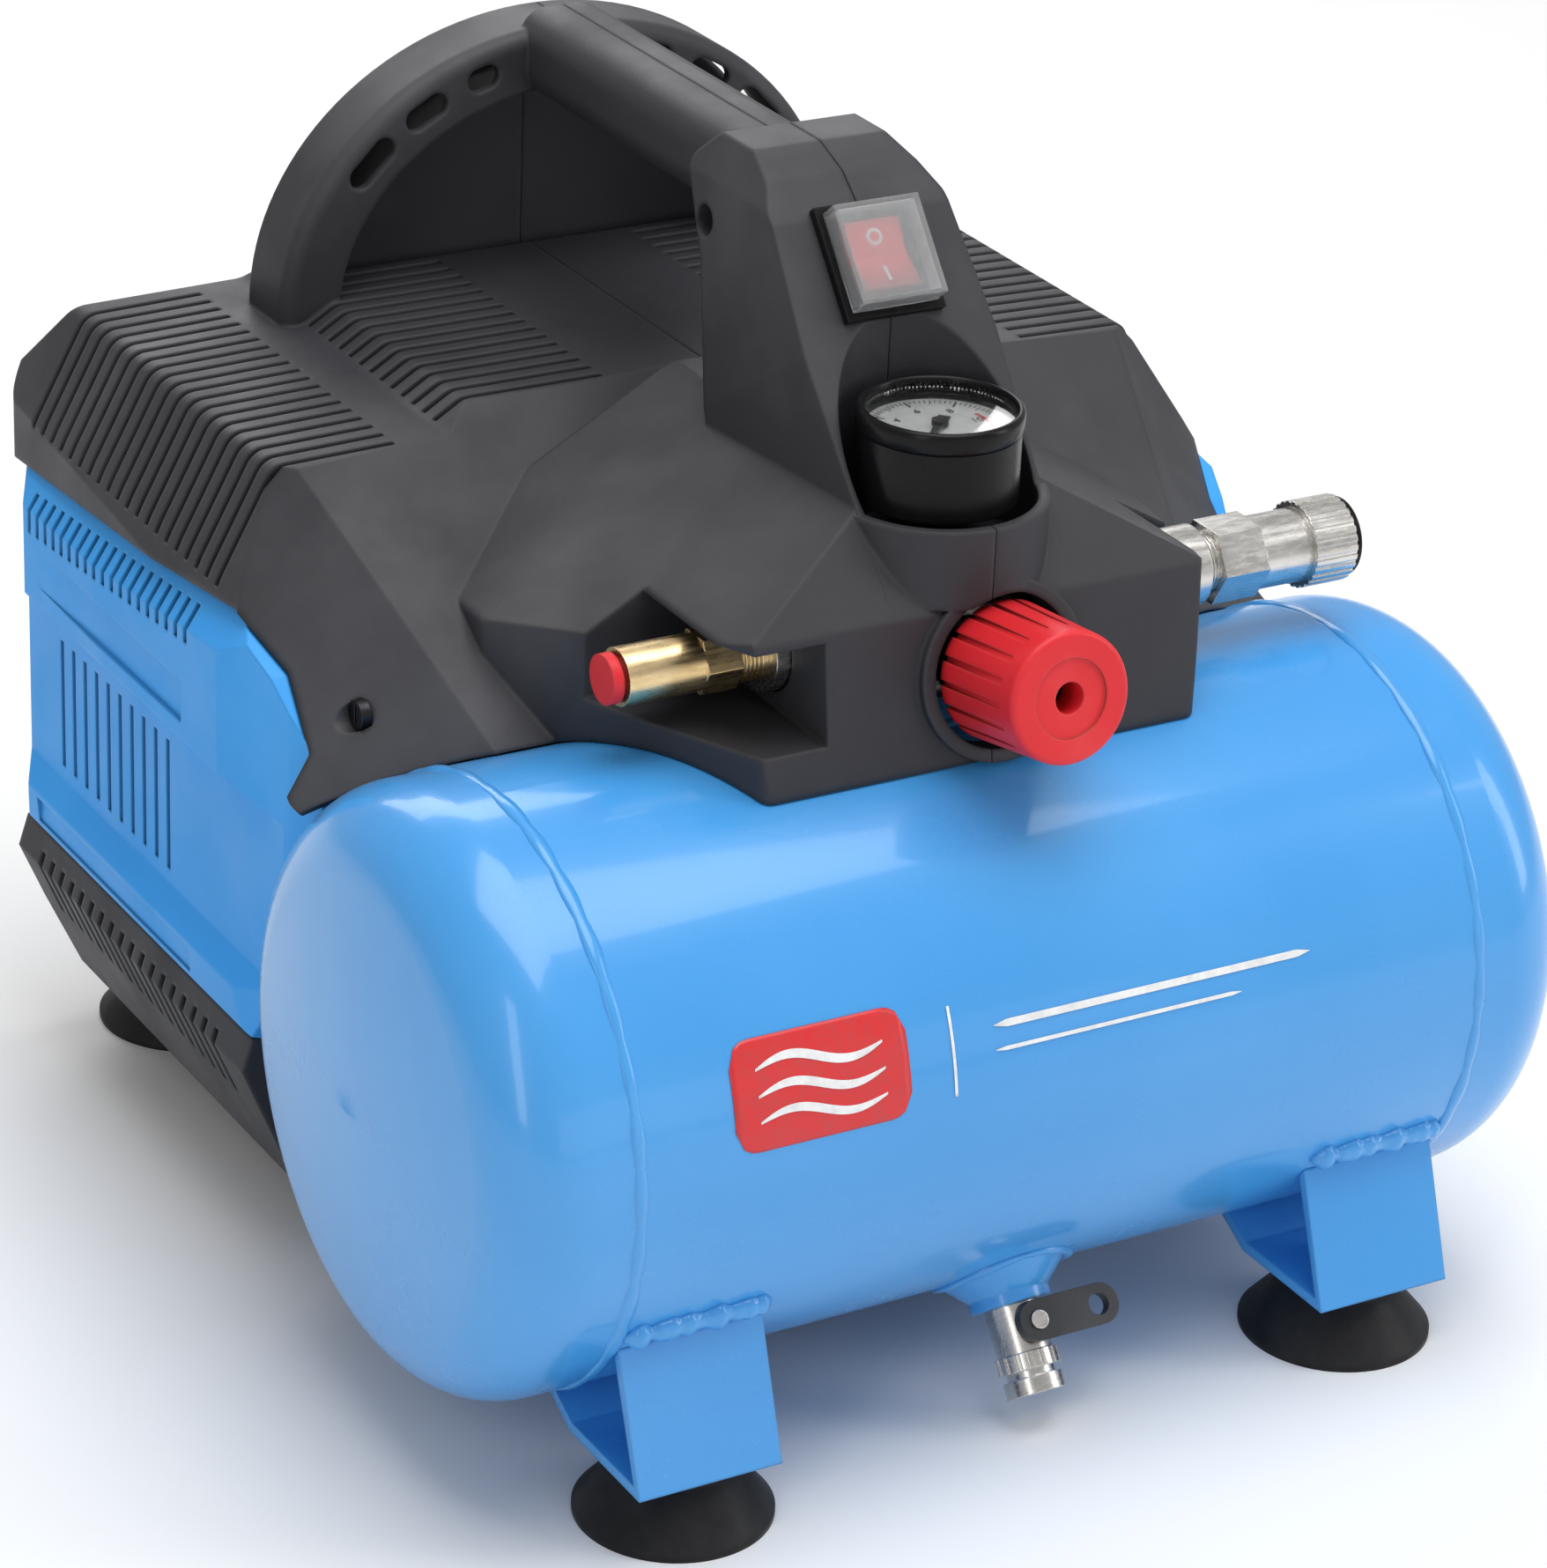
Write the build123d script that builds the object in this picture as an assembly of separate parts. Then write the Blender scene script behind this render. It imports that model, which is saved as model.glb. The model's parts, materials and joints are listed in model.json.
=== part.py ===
"""Portable oil-free air compressor: a horizontal tank in front, a direct-drive pump under a hood behind.

Frame: millimetres, X to the right, Y to the rear, Z up.  The origin is the centre of the foot
print on the floor, so the tank lies along X at the front and the hood stands behind it.
"""
import math
import os

from build123d import *

# ---- driving dimensions -------------------------------------------------------------------
TANK_R = 80.0            # outer radius of the six-litre tank
TANK_HALF = 125.6        # half length of the rolled shell, seam to seam
TANK_END = 166.0         # outermost point of each pressed head
TANK_WALL = 2.0
TANK_Y = -88.0
TANK_Z = 99.0
KNUCKLE_R = 24.0         # knuckle radius of the pressed heads
CROWN_EDGE = 10.0        # degrees the crown leans back where it meets the knuckle
DRAIN_X = 1.0
DRAIN_LEAN = 38.0        # degrees the drain boss leans to the front
OUTLET = (0.0, TANK_Y)   # socket under the pressure manifold
INLET = (-30.0, -58.0)   # socket of the non-return valve
SOCKET_TOP = 186.0
BRACKET_X = 103.3
BRACKET_W = 41.0
BRACKET_T = 3.0

FOOT_X = 102.6
FOOT_Y = 149.0
FOOT_R = 26.0
FOOT_H = 18.7
FOOT_BOLT_R = 3.0

PUMP_Y = 75.0            # motor and pump axis, parallel to X
PUMP_Z = 112.0
CYL_X = 46.0             # cylinder bore axis
CRANK_THROW = 7.0        # half of the 14 mm stroke
BORE_R = 24.0
SHAFT_R = 6.0
FAN_R = 56.0

MANIFOLD_Y = -83.0       # pressure manifold under the console
MANIFOLD_Z = 202.0
MANIFOLD_R = 11.0
KNOB_X = 4.5
KNOB_TILT = 9.0          # degrees, front end up
KNOB_R = 18.5
KNOB_LEN = 32.0
GAUGE_Y = -85.0
GAUGE_R = 21.0
GAUGE_TOP = 260.0

FACE_LOW = (-110.0, 216.0)   # (y, z) of the sloping console face at its lower and upper edge
FACE_HIGH = (-42.0, 298.0)
SWITCH_Y = -50.4             # centre of the switch on that face

WALL = 3.0               # moulded housing wall
COVER_WALL = 2.5         # wall of the side and lower covers
GAP = 0.5                # air between neighbouring covers
FIT = 0.05               # radial clearance of a running fit
SEAM = 0.15              # half of the joint line between the two housing halves

RIM_SLOPE = -0.09        # the hood rim drops towards the rear
RIM_MID = 193.4          # rim height at Y = 0
HANDLE_W = 27.0
HANDLE_H = 24.0
HANDLE_Z = 294.0
COWL_FRONT = 115.0       # intake cowl at the rear of the handle
COWL_REAR = 146.0
COWL_BASE = 226.0
COWL_A = 88.0            # half width of the cowl
COWL_B = 76.0            # height of the cowl over its base
RIM_BAND = 17.0          # width of the cowl's front rim
VENT_W = 2.2             # slot width of the cooling vents
VENT_PITCH = 6.4


# ---- helpers ------------------------------------------------------------------------------
def outline(points, inset=0.0, soft=0.0):
    """Face of a closed outline: edges moved inwards by inset, or corners rounded by soft."""
    face = make_face(Polyline(*points, close=True))
    if inset:
        return offset(face, -inset, kind=Kind.INTERSECTION)
    if soft:
        return fillet(face.vertices(), soft)
    return face


def prism(plane, points, length, inset, soft):
    """Extrude a closed outline from a plane along its normal."""
    return extrude(plane * outline(points, inset, soft), length, dir=plane.z_dir)


def prism_x(points, x0, x1, inset=0.0, soft=0.0):
    """Extrude a closed (y, z) outline from x0 to x1."""
    return prism(Plane.YZ.offset(x0), points, x1 - x0, inset, soft)


def prism_y(points, y0, y1, inset=0.0, soft=0.0):
    """Extrude a closed (x, z) outline from y0 to y1."""
    return prism(Plane.XZ.offset(-y1), points, y1 - y0, inset, soft)


def prism_z(points, z0, z1, inset=0.0, soft=0.0):
    """Extrude a closed (x, y) outline from z0 to z1."""
    return prism(Plane.XY.offset(z0), points, z1 - z0, inset, soft)


def mirrored(half):
    """Close a half outline, listed from the lower left to the upper middle, by mirroring it."""
    return half + [(-x, z) for x, z in reversed(half)]


def rod(direction, radius, start, length, at):
    """Cylinder along X, Y or Z from start; at gives its other two coordinates in order."""
    origin = {"X": (start, *at), "Y": (at[0], start, at[1]), "Z": (*at, start)}[direction]
    axis = {"X": (1, 0, 0), "Y": (0, 1, 0), "Z": (0, 0, 1)}[direction]
    return extrude(Plane(origin=origin, z_dir=axis) * Circle(radius), length)


def tube(direction, outer, inner, start, length, at):
    """Hollow cylinder, placed as rod places a solid one."""
    return rod(direction, outer, start, length, at) - rod(direction, inner, start, length, at)


def box(x0, x1, y0, y1, z0, z1):
    """Block between two corners, whose coordinates may come in either order."""
    centre = Pos((x0 + x1) / 2, (y0 + y1) / 2, (z0 + z1) / 2)
    return centre * Box(abs(x1 - x0), abs(y1 - y0), abs(z1 - z0))


def drum(radius, z0, z1):
    """Cylinder on the local Z axis between two heights."""
    return Pos(0, 0, (z0 + z1) / 2) * Cylinder(radius, z1 - z0)


def hexagon(across_flats, z0, z1):
    """Hexagonal bar on the local Z axis between two heights."""
    return Pos(0, 0, z0) * extrude(RegularPolygon(across_flats / 2, 6, major_radius=False), z1 - z0)


def both(shape):
    """The shape and its mirror image across the machine's middle plane."""
    return shape + mirror(shape, Plane.YZ)


def ring_of(item, count, radius):
    """Fuse copies of an item set round the local Z axis."""
    copies = [Rot(0, 0, 360.0 * i / count) * Pos(radius, 0, 0) * item for i in range(count)]
    return Part() + copies


# ---- tank ---------------------------------------------------------------------------------
def head_solid(shell_r, end):
    """Pressed head as a solid of revolution: straight flange, knuckle arc, spherical crown."""
    edge = math.radians(CROWN_EDGE)
    crown_r = shell_r - KNUCKLE_R * (1 - math.sin(edge))
    sphere = crown_r / math.sin(edge)
    crown = (end - sphere * (1 - math.cos(edge)), crown_r)
    middle = (end - sphere * (1 - math.cos(edge / 2)), sphere * math.sin(edge / 2))
    knuckle = (crown[0] - KNUCKLE_R * math.cos(edge), shell_r)
    arc = TangentArc(knuckle, crown, tangent=(1, 0))
    dome = ThreePointArc(crown, middle, (end, 0))
    base = Polyline((end, 0), (TANK_HALF, 0), (TANK_HALF, shell_r), knuckle)
    return Pos(0, TANK_Y, TANK_Z) * revolve(make_face([arc, dome, base]), Axis.X)


def tank_head():
    """Right-hand pressed head with the joggled lip that slides into the shell."""
    skin = head_solid(TANK_R, TANK_END) - head_solid(TANK_R - TANK_WALL, TANK_END - TANK_WALL)
    lip_r = TANK_R - TANK_WALL
    axis = (TANK_Y, TANK_Z)
    lip = tube("X", lip_r, lip_r - TANK_WALL, TANK_HALF - 10.0, 10.0, axis)
    neck = tube("X", lip_r + 1.0, lip_r - TANK_WALL, TANK_HALF, 4.0, axis)
    return skin + neck + lip


def drain_frame():
    """Local frame of the drain boss: its Z axis points out of the tank, down and forward."""
    return Pos(DRAIN_X, TANK_Y, TANK_Z) * Rot(180 - DRAIN_LEAN, 0, 0)


def tank_shell():
    """Rolled shell with its outlet sockets on top and the drain hole below."""
    shell = tube("X", TANK_R, TANK_R - TANK_WALL, -TANK_HALF, 2 * TANK_HALF, (TANK_Y, TANK_Z))
    for place in (INLET, OUTLET):
        shell -= rod("Z", 6.0, TANK_Z, TANK_R + 5.0, place)
    return shell - drain_frame() * drum(5.0, TANK_R - 10.0, TANK_R + 10.0)


def tank_socket(place):
    """Threaded boss welded on top of the tank."""
    boss = tube("Z", 10.0, 6.0, TANK_Z + 60.0, SOCKET_TOP - TANK_Z - 60.0, place)
    return boss - rod("X", TANK_R, -60.0, 120.0, (TANK_Y, TANK_Z))


DRAIN_END = TANK_R + 9.0      # distance of the boss face from the tank axis
LEVER_OUT = 9.0               # the lever clears the nut as it turns past it


def drain_boss():
    """Flared boss under the tank that takes the drain valve."""
    flare = Pos(0, 0, TANK_R - 2.0) * Cone(19.0, 11.0, 8.0, align=(Align.CENTER, Align.CENTER, Align.MIN))
    boss = flare + drum(11.0, TANK_R + 4.0, DRAIN_END)
    boss -= drum(5.0, TANK_R - 5.0, TANK_R + 20.0)
    return drain_frame() * boss - rod("X", TANK_R, -60.0, 160.0, (TANK_Y, TANK_Z))


def tank_bracket():
    """Right-hand steel strap bent to a cradle: front flange, floor plate and rear flange."""
    half = BRACKET_W / 2
    low = FOOT_H + BRACKET_T
    strap = prism_x(
        [(-168.8, FOOT_H), (-132.0, FOOT_H), (-112.0, 29.0), (-114.5, 31.0), (-133.0, low),
         (-165.6, low), (-152.0, 57.0), (-155.0, 57.0)],
        BRACKET_X - half, BRACKET_X + half)
    strap -= rod("Z", FOOT_BOLT_R + 0.3, 0, 40.0, (FOOT_X, -FOOT_Y))
    return strap - rod("X", TANK_R, 0, 200.0, (TANK_Y, TANK_Z))


def rubber_foot(x, y):
    """Flared rubber foot with a bolt hole and a recessed head below."""
    base = Cone(FOOT_R, 15.0, 13.0, align=(Align.CENTER, Align.CENTER, Align.MIN))
    foot = Pos(0, 0, 1.5) * base + drum(FOOT_R, 0, 1.5) + drum(15.0, 14.5, FOOT_H)
    foot -= drum(FOOT_BOLT_R, 0, FOOT_H + 1.0)
    foot -= drum(7.0, -1.0, 6.0)
    return Pos(x, y, 0) * foot


def foot_bolts():
    """Four bolts, each with its head in a foot's recess and its nut on the steel above."""
    bolt = drum(5.5, 2.0, 6.0) + drum(FOOT_BOLT_R, 6.0, FOOT_H + 10.0)
    front = bolt + hexagon(10.0, FOOT_H + BRACKET_T, FOOT_H + BRACKET_T + 5.0)
    deck = DECK_Z + DECK_T
    rear = bolt + hexagon(10.0, deck, deck + 5.0)
    places = [(FOOT_X, -FOOT_Y, front), (FOOT_X, FOOT_Y, rear)]
    return [Pos(side * x, y, 0) * item for x, y, item in places for side in (-1, 1)]


def drain_valve():
    """Small nickel ball valve: neck, body and the lever's spindle facing forward."""
    body = drum(5.0 - FIT, DRAIN_END - 12.0, DRAIN_END) + drum(7.5, DRAIN_END, DRAIN_END + 13.0)
    spindle = Plane(origin=(0, 0, DRAIN_END + 6.0), z_dir=(0, 1, 0)) * drum(2.5, 0, 13.0)
    return drain_frame() * (body + spindle - drum(2.0, DRAIN_END - 20.0, DRAIN_END + 14.0))


def drain_lever():
    """Flat wing lever with a finger hole at its free end."""
    plane = Plane(origin=(0, 0, DRAIN_END + 6.0), x_dir=(1, 0, 0), z_dir=(0, 1, 0))
    plate = Pos(9.5, 0, 0) * SlotOverall(30.0, 11.0) - Circle(2.5 + FIT) - Pos(18.5, 0) * Circle(3.0)
    return drain_frame() * (plane.offset(LEVER_OUT) * extrude(plate, 3.2))


def drain_nut():
    """Knurled outlet nut screwed on the valve."""
    nut = drum(8.5, DRAIN_END + 13.0, DRAIN_END + 17.5) + drum(6.5, DRAIN_END + 17.5, DRAIN_END + 19.5)
    nut += drum(8.0, DRAIN_END + 19.5, DRAIN_END + 24.0)
    nut -= ring_of(Pos(0, 0, DRAIN_END + 15.0) * Box(1.2, 1.2, 5.2), 16, 8.5)
    return drain_frame() * (nut - drum(2.0, DRAIN_END + 10.0, DRAIN_END + 30.0))


# ---- base deck under the pump ---------------------------------------------------------------
DECK_Z = FOOT_H + COVER_WALL     # the deck lies on the floor of the lower covers
DECK_T = 3.0


def base_deck():
    """Steel deck that carries the pump, with two gussets welded to the back of the tank."""
    top = DECK_Z + DECK_T
    deck = box(-124.0, 124.0, 16.0, 154.0, DECK_Z, top)
    for side in (-1, 1):
        x = side * 88.0
        gusset = [(60.0, top), (60.0, DECK_Z), (-20.0, DECK_Z), (-60.0, 30.0), (-40.0, 60.0), (-10.0, 70.0)]
        deck += prism_x(gusset, x - 2.0, x + 2.0)
        deck -= rod("Z", FOOT_BOLT_R + 0.3, 0, 60.0, (side * FOOT_X, FOOT_Y))
    deck += capacitor_saddle()
    return deck - rod("X", TANK_R, -200.0, 400.0, (TANK_Y, TANK_Z))


# ---- motor and pump -------------------------------------------------------------------------
STATOR = (-62.0, 4.0)    # X span of the stator stack
PUMP_AT = (PUMP_Y, PUMP_Z)
ECCENTRIC_R = 7.0
BIG_END_R = 22.0         # open big end: the crank pin orbits inside it with clearance
CYL_BASE = 150.0
CYL_TOP = 194.0
PISTON_TOP = 184.0       # crown height at mid stroke


def motor_stator():
    """Laminated stack with its two copper end windings."""
    stack = tube("X", 46.0, 25.0, STATOR[0], STATOR[1] - STATOR[0], PUMP_AT)
    for end in (STATOR[0] - 9.0, STATOR[1]):
        stack += tube("X", 38.0, 27.0, end, 9.0, PUMP_AT)
    return stack


def motor_cradle():
    """Cast cradle that holds the stator down on the rubber mounts."""
    saddle = box(-58.0, 0.0, PUMP_Y - 40.0, PUMP_Y + 40.0, 34.0, 80.0)
    saddle -= rod("X", 46.0, -80.0, 120.0, PUMP_AT)
    return saddle - box(-50.0, -8.0, PUMP_Y - 30.0, PUMP_Y + 30.0, 34.0, 60.0)


def motor_rotor():
    """Rotor stack pressed on the shaft."""
    return tube("X", 24.4, SHAFT_R, STATOR[0], STATOR[1] - STATOR[0], PUMP_AT)


def motor_shaft():
    """Steel shaft from the left fan, through the rotor, to the right fan."""
    return rod("X", SHAFT_R, -104.0, 206.0, PUMP_AT)


def end_bell():
    """Left motor end shield with its bearing seat and four arms."""
    hub = tube("X", 17.0, 13.0, -84.0, 10.0, PUMP_AT)
    hub += tube("X", 46.0, 41.0, -78.0, 16.0, PUMP_AT)
    for angle in range(0, 360, 90):
        arm = box(-84.0, -78.0, PUMP_Y - 5.0, PUMP_Y + 5.0, PUMP_Z + 14.0, PUMP_Z + 43.0)
        hub += arm.rotate(Axis((0, PUMP_Y, PUMP_Z), (1, 0, 0)), angle + 45.0)
    return hub


def bearing(x, outer):
    """Sealed ball bearing on the shaft, 9 mm wide."""
    return tube("X", outer, SHAFT_R + FIT, x, 9.0, PUMP_AT)


def crankcase():
    """Cast crankcase: bearing wall, open-sided skirt, cylinder deck and two feet."""
    wall = tube("X", 46.0, 13.0, 14.0, 9.0, PUMP_AT)
    skirt = tube("X", 46.0, 40.0, 23.0, 42.0, PUMP_AT)
    deck = box(14.0, 78.0, PUMP_Y - 32.0, PUMP_Y + 32.0, CYL_BASE - 6.0, CYL_BASE)
    feet = box(20.0, 62.0, PUMP_Y - 40.0, PUMP_Y + 40.0, 34.0, 78.0)
    feet -= box(26.0, 56.0, PUMP_Y - 30.0, PUMP_Y + 30.0, 34.0, 60.0)
    feet -= rod("X", 43.0, 10.0, 70.0, PUMP_AT)
    case = wall + skirt - box(10.0, 80.0, PUMP_Y - 50.0, PUMP_Y + 50.0, CYL_BASE, 160.0)
    case = case + deck + feet
    return case - rod("Z", BORE_R + 1.5, CYL_BASE - 30.0, 40.0, (CYL_X, PUMP_Y))


def vibration_mounts():
    """Four rubber buffers between the deck and the pump's feet."""
    base = DECK_Z + DECK_T
    return [rod("Z", 8.0, base, 34.0 - base, (x, PUMP_Y + side * 34.0))
            for x in (-29.0, 41.0) for side in (-1, 1)]


def eccentric():
    """Crank disc with its pin and a counterweight opposite, keyed on the shaft."""
    plane = Plane(origin=(27.0, *PUMP_AT), x_dir=(0, 1, 0), z_dir=(1, 0, 0))
    weight = Circle(32.0) & Pos(-21.0, 0) * Rectangle(26.0, 70.0)
    disc = extrude(plane * (Circle(16.0) + weight), 7.0)
    pin = rod("X", ECCENTRIC_R, 34.0, 24.0, (PUMP_Y + CRANK_THROW, PUMP_Z))
    return disc + pin - rod("X", SHAFT_R, 0, 80.0, PUMP_AT)


def piston_rod():
    """One-piece rod and piston crown with an open big end."""
    shank = box(CYL_X - 5.0, CYL_X + 5.0, PUMP_Y - 7.0, PUMP_Y + 7.0,
                PUMP_Z + BIG_END_R + 2.0, PISTON_TOP - 6.0)
    ring = tube("X", BIG_END_R + 5.0, BIG_END_R, CYL_X - 6.0, 12.0, PUMP_AT)
    crown = rod("Z", BORE_R - 2.0, PISTON_TOP - 8.0, 8.0, (CYL_X, PUMP_Y))
    crown -= tube("Z", BORE_R, BORE_R - 5.0, PISTON_TOP - 6.0, 3.0, (CYL_X, PUMP_Y))
    return ring + shank + crown


def piston_seal():
    """Low-friction sealing ring in the piston's groove."""
    return tube("Z", BORE_R - FIT, BORE_R - 5.0, PISTON_TOP - 6.0, 3.0, (CYL_X, PUMP_Y))


def cylinder():
    """Cylinder barrel with cooling fins."""
    barrel = rod("Z", BORE_R + 4.0, CYL_BASE, CYL_TOP - CYL_BASE, (CYL_X, PUMP_Y))
    for z in range(156, 192, 6):
        barrel += rod("Z", 34.0, z, 2.0, (CYL_X, PUMP_Y))
    return barrel - rod("Z", BORE_R, CYL_BASE - 1.0, 60.0, (CYL_X, PUMP_Y))


def head_square(z0, z1, half=30.0):
    """Square plate centred on the bore."""
    return box(CYL_X - half, CYL_X + half, PUMP_Y - half, PUMP_Y + half, z0, z1)


def valve_plate():
    """Plate with the two reed-valve ports."""
    plate = head_square(CYL_TOP, CYL_TOP + 3.0)
    for side in (-1, 1):
        plate -= rod("Z", 4.0, CYL_TOP - 1.0, 6.0, (CYL_X + side * 12.0, PUMP_Y))
    return plate


def cylinder_head():
    """Finned head with an intake and a delivery chamber below."""
    base = CYL_TOP + 3.0
    head = head_square(base, base + 15.0)
    for side in (-1, 1):
        x = CYL_X + side * 12.5
        head -= box(x - 10.0, x + 10.0, PUMP_Y - 20.0, PUMP_Y + 20.0, base, base + 8.0)
    for index in range(-3, 4):
        x = CYL_X + 8.0 * index
        head -= box(x - 2.5, x + 2.5, PUMP_Y - 24.0, PUMP_Y + 24.0, base + 11.0, base + 16.0)
    head -= rod("Y", 3.6, PUMP_Y - 32.0, 14.0, (CYL_X - 12.5, base + 4.5))
    return head


def head_bolts():
    """Four long bolts that clamp the head; the heads lie on top."""
    top = CYL_TOP + 18.0
    places = [(CYL_X + i * 27.0, PUMP_Y + j * 27.0) for i in (-1, 1) for j in (-1, 1)]
    return [rod("Z", 4.2, top, 4.0, place) for place in places]


def fan(x, blades):
    """Axial fan: hub, swept blades and a thin outer band."""
    hub = drum(15.0, 0, 16.0) - drum(SHAFT_R, -1.0, 17.0)
    blade = Pos(0, 0, 8.0) * Rot(38.0, 0, 0) * Box(FAN_R - 15.0, 2.2, 17.0)
    wheel = hub + ring_of(blade, blades, 14.0 + (FAN_R - 15.0) / 2)
    wheel += drum(FAN_R + 1.5, 2.0, 14.0) - drum(FAN_R - 1.0, 1.0, 15.0)
    return Plane(origin=(x, PUMP_Y, PUMP_Z), z_dir=(1, 0, 0)) * (wheel - drum(SHAFT_R, -2.0, 20.0))


CAPACITOR_Y = PUMP_Y + 62.0


def capacitor():
    """Run capacitor standing behind the motor."""
    return rod("X", 17.0, -64.0, 62.0, (CAPACITOR_Y, 60.0))


def capacitor_saddle():
    """Steel saddle that holds the capacitor on the deck."""
    saddle = box(-42.0, -24.0, CAPACITOR_Y - 14.0, CAPACITOR_Y + 14.0, DECK_Z + DECK_T, 60.0)
    return saddle - rod("X", 17.0, -70.0, 80.0, (CAPACITOR_Y, 60.0))


def intake_filter():
    """Round intake silencer on the side of the head."""
    base = CYL_TOP + 10.0
    stem = rod("X", 5.0, CYL_X + 30.0, 8.0, (PUMP_Y, base))
    return stem + rod("X", 15.0, CYL_X + 38.0, 20.0, (PUMP_Y, base - 4.0))


def bent_tube(points, radii, radius):
    """Round tube along straight runs joined by arcs."""
    path = FilletPolyline(*points, radius=radii)
    start = path @ 0
    section = Plane(origin=start, z_dir=path % 0) * Circle(radius)
    return sweep(section, path=path)


def delivery_tube():
    """Copper pipe from the head to the non-return valve on the tank."""
    height = CYL_TOP + 7.5
    points = [
        (CYL_X - 12.5, PUMP_Y - 30.0, height),
        (CYL_X - 12.5, 10.0, height),
        (INLET[0], -18.0, height),
        (INLET[0], INLET[1] + 8.5, height),
    ]
    return bent_tube(points, 12.0, 3.0)


def check_valve():
    """Brass non-return valve standing in the tank's inlet socket."""
    return Pos(*INLET, 0) * (drum(6.0, SOCKET_TOP - 15.0, SOCKET_TOP) + hexagon(17.0, SOCKET_TOP, 208.0))


# ---- pressure controls ----------------------------------------------------------------------
MANIFOLD_X = (-50.0, 82.0)
MANIFOLD_AT = (MANIFOLD_Y, MANIFOLD_Z)
VALVE_X = MANIFOLD_X[0]          # the safety valve points to the left from here
COUPLER_X = MANIFOLD_X[1]        # the coupler points to the right from here
BONNET_REAR = -13.0              # regulator bonnet and spindle boss along the knob's axis
SPINDLE_R = 9.0
SPINDLE_END = 22.0
CAP_R = 5.2                      # bore of the safety valve's barrel
SOCKET_R = 5.2                   # bore of the coupler's socket
ROCKER_TILT = 5.0                # degrees the rocker leans at rest, lower edge out
PIVOT_R = 1.5                    # rocker's pivot pins


def knob_frame():
    """Local frame of the regulator: Z points out of the console, X stays level."""
    tilt = math.radians(KNOB_TILT)
    return Plane(origin=(KNOB_X, -112.0, 198.6), x_dir=(1, 0, 0), z_dir=(0, -math.cos(tilt), math.sin(tilt)))


def manifold():
    """Cast manifold bar on its nipple, bored along its length."""
    bar = rod("X", MANIFOLD_R, MANIFOLD_X[0], MANIFOLD_X[1] - MANIFOLD_X[0], MANIFOLD_AT)
    nipple = drum(6.0, SOCKET_TOP - 12.0, SOCKET_TOP) + hexagon(15.0, SOCKET_TOP, MANIFOLD_Z)
    seat = rod("Z", 9.0, MANIFOLD_Z, 214.0 - MANIFOLD_Z, (0, GAUGE_Y))
    branch = rod("Y", 6.0, MANIFOLD_Y, -68.0 - MANIFOLD_Y, (20.0, MANIFOLD_Z))
    body = bar + Pos(*OUTLET, 0) * nipple + seat + branch + knob_frame() * drum(7.0, -29.0, BONNET_REAR)
    body -= rod("X", 5.0, MANIFOLD_X[0] - 1.0, 20.0, MANIFOLD_AT)
    return body - rod("X", 5.0, MANIFOLD_X[1] - 20.0, 21.0, MANIFOLD_AT)


def regulator_bonnet():
    """Regulator spring housing with the knob's spindle boss."""
    return knob_frame() * (drum(11.0, BONNET_REAR, 4.0) + drum(SPINDLE_R, 4.0, SPINDLE_END))


def regulator_knob():
    """Fluted knob with a recessed face and a centre hole."""
    upright = (Align.CENTER, Align.CENTER, Align.MIN)
    body = Pos(0, 0, 2.0) * Cone(KNOB_R, KNOB_R - 1.2, KNOB_LEN, align=upright)
    body = fillet(body.edges().sort_by(Axis.Z)[-1], 1.6)
    body -= drum(14.5, 1.0, 6.0)
    body -= drum(SPINDLE_R + FIT, 5.0, SPINDLE_END + 1.0)
    body -= drum(4.2, 20.0, KNOB_LEN + 5.0)
    body -= drum(10.5, KNOB_LEN + 1.2, KNOB_LEN + 3.0)
    body -= ring_of(Pos(0, 0, KNOB_LEN / 2 - 1.0) * Box(2.4, 1.6, KNOB_LEN - 6.0), 18, KNOB_R)
    return knob_frame() * body


def gauge_case():
    """Black gauge case, open at the top, on its threaded stem."""
    cup = drum(GAUGE_R, 237.0, GAUGE_TOP) - drum(GAUGE_R - 1.6, 250.0, GAUGE_TOP + 1.0)
    stem = hexagon(12.0, 214.0, 224.0) + drum(5.0, 224.0, 237.0)
    return Pos(0, GAUGE_Y, 0) * (cup + stem)


def gauge_dial():
    """White dial plate on the floor of the case."""
    return Pos(0, GAUGE_Y, 0) * (drum(GAUGE_R - 1.8, 250.0, 254.0) - drum(1.2, 249.0, 255.0))


def gauge_needle():
    """Pointer with its hub and counterweight tail, resting at zero."""
    pointer = prism_z([(-1.6, -5.0), (1.6, -5.0), (0.35, 15.0), (-0.35, 15.0)], 254.6, 255.2)
    needle = pointer + drum(2.2, 254.6, 256.0) + drum(1.2 - FIT, 250.2, 255.0)
    return Pos(0, GAUGE_Y, 0) * Rot(0, 0, 135.0) * needle


def gauge_lens():
    """Clear lens snapped into the rim."""
    lens = drum(GAUGE_R - 1.6, 257.0, 258.6)
    return Pos(0, GAUGE_Y, 0) * lens


def x_frame(x, side):
    """Local frame on the manifold axis whose Z points to the side."""
    return Plane(origin=(x, *MANIFOLD_AT), x_dir=(0, 1, 0), z_dir=(side, 0, 0))


def safety_valve_body():
    """Brass safety valve: threaded spigot, hexagon and spring barrel."""
    body = drum(5.0, -14.0, 0) + drum(7.0, 0, 8.0) + hexagon(15.0, 8.0, 18.0) + drum(7.6, 18.0, 40.0)
    return x_frame(VALVE_X, -1) * (body - drum(CAP_R, 26.0, 41.0))


def safety_valve_cap():
    """Red pull button that slides in the barrel."""
    cap = drum(CAP_R - FIT, 30.0, 41.0) + drum(6.6, 41.0, 44.0)
    return x_frame(VALVE_X, -1) * cap


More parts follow.
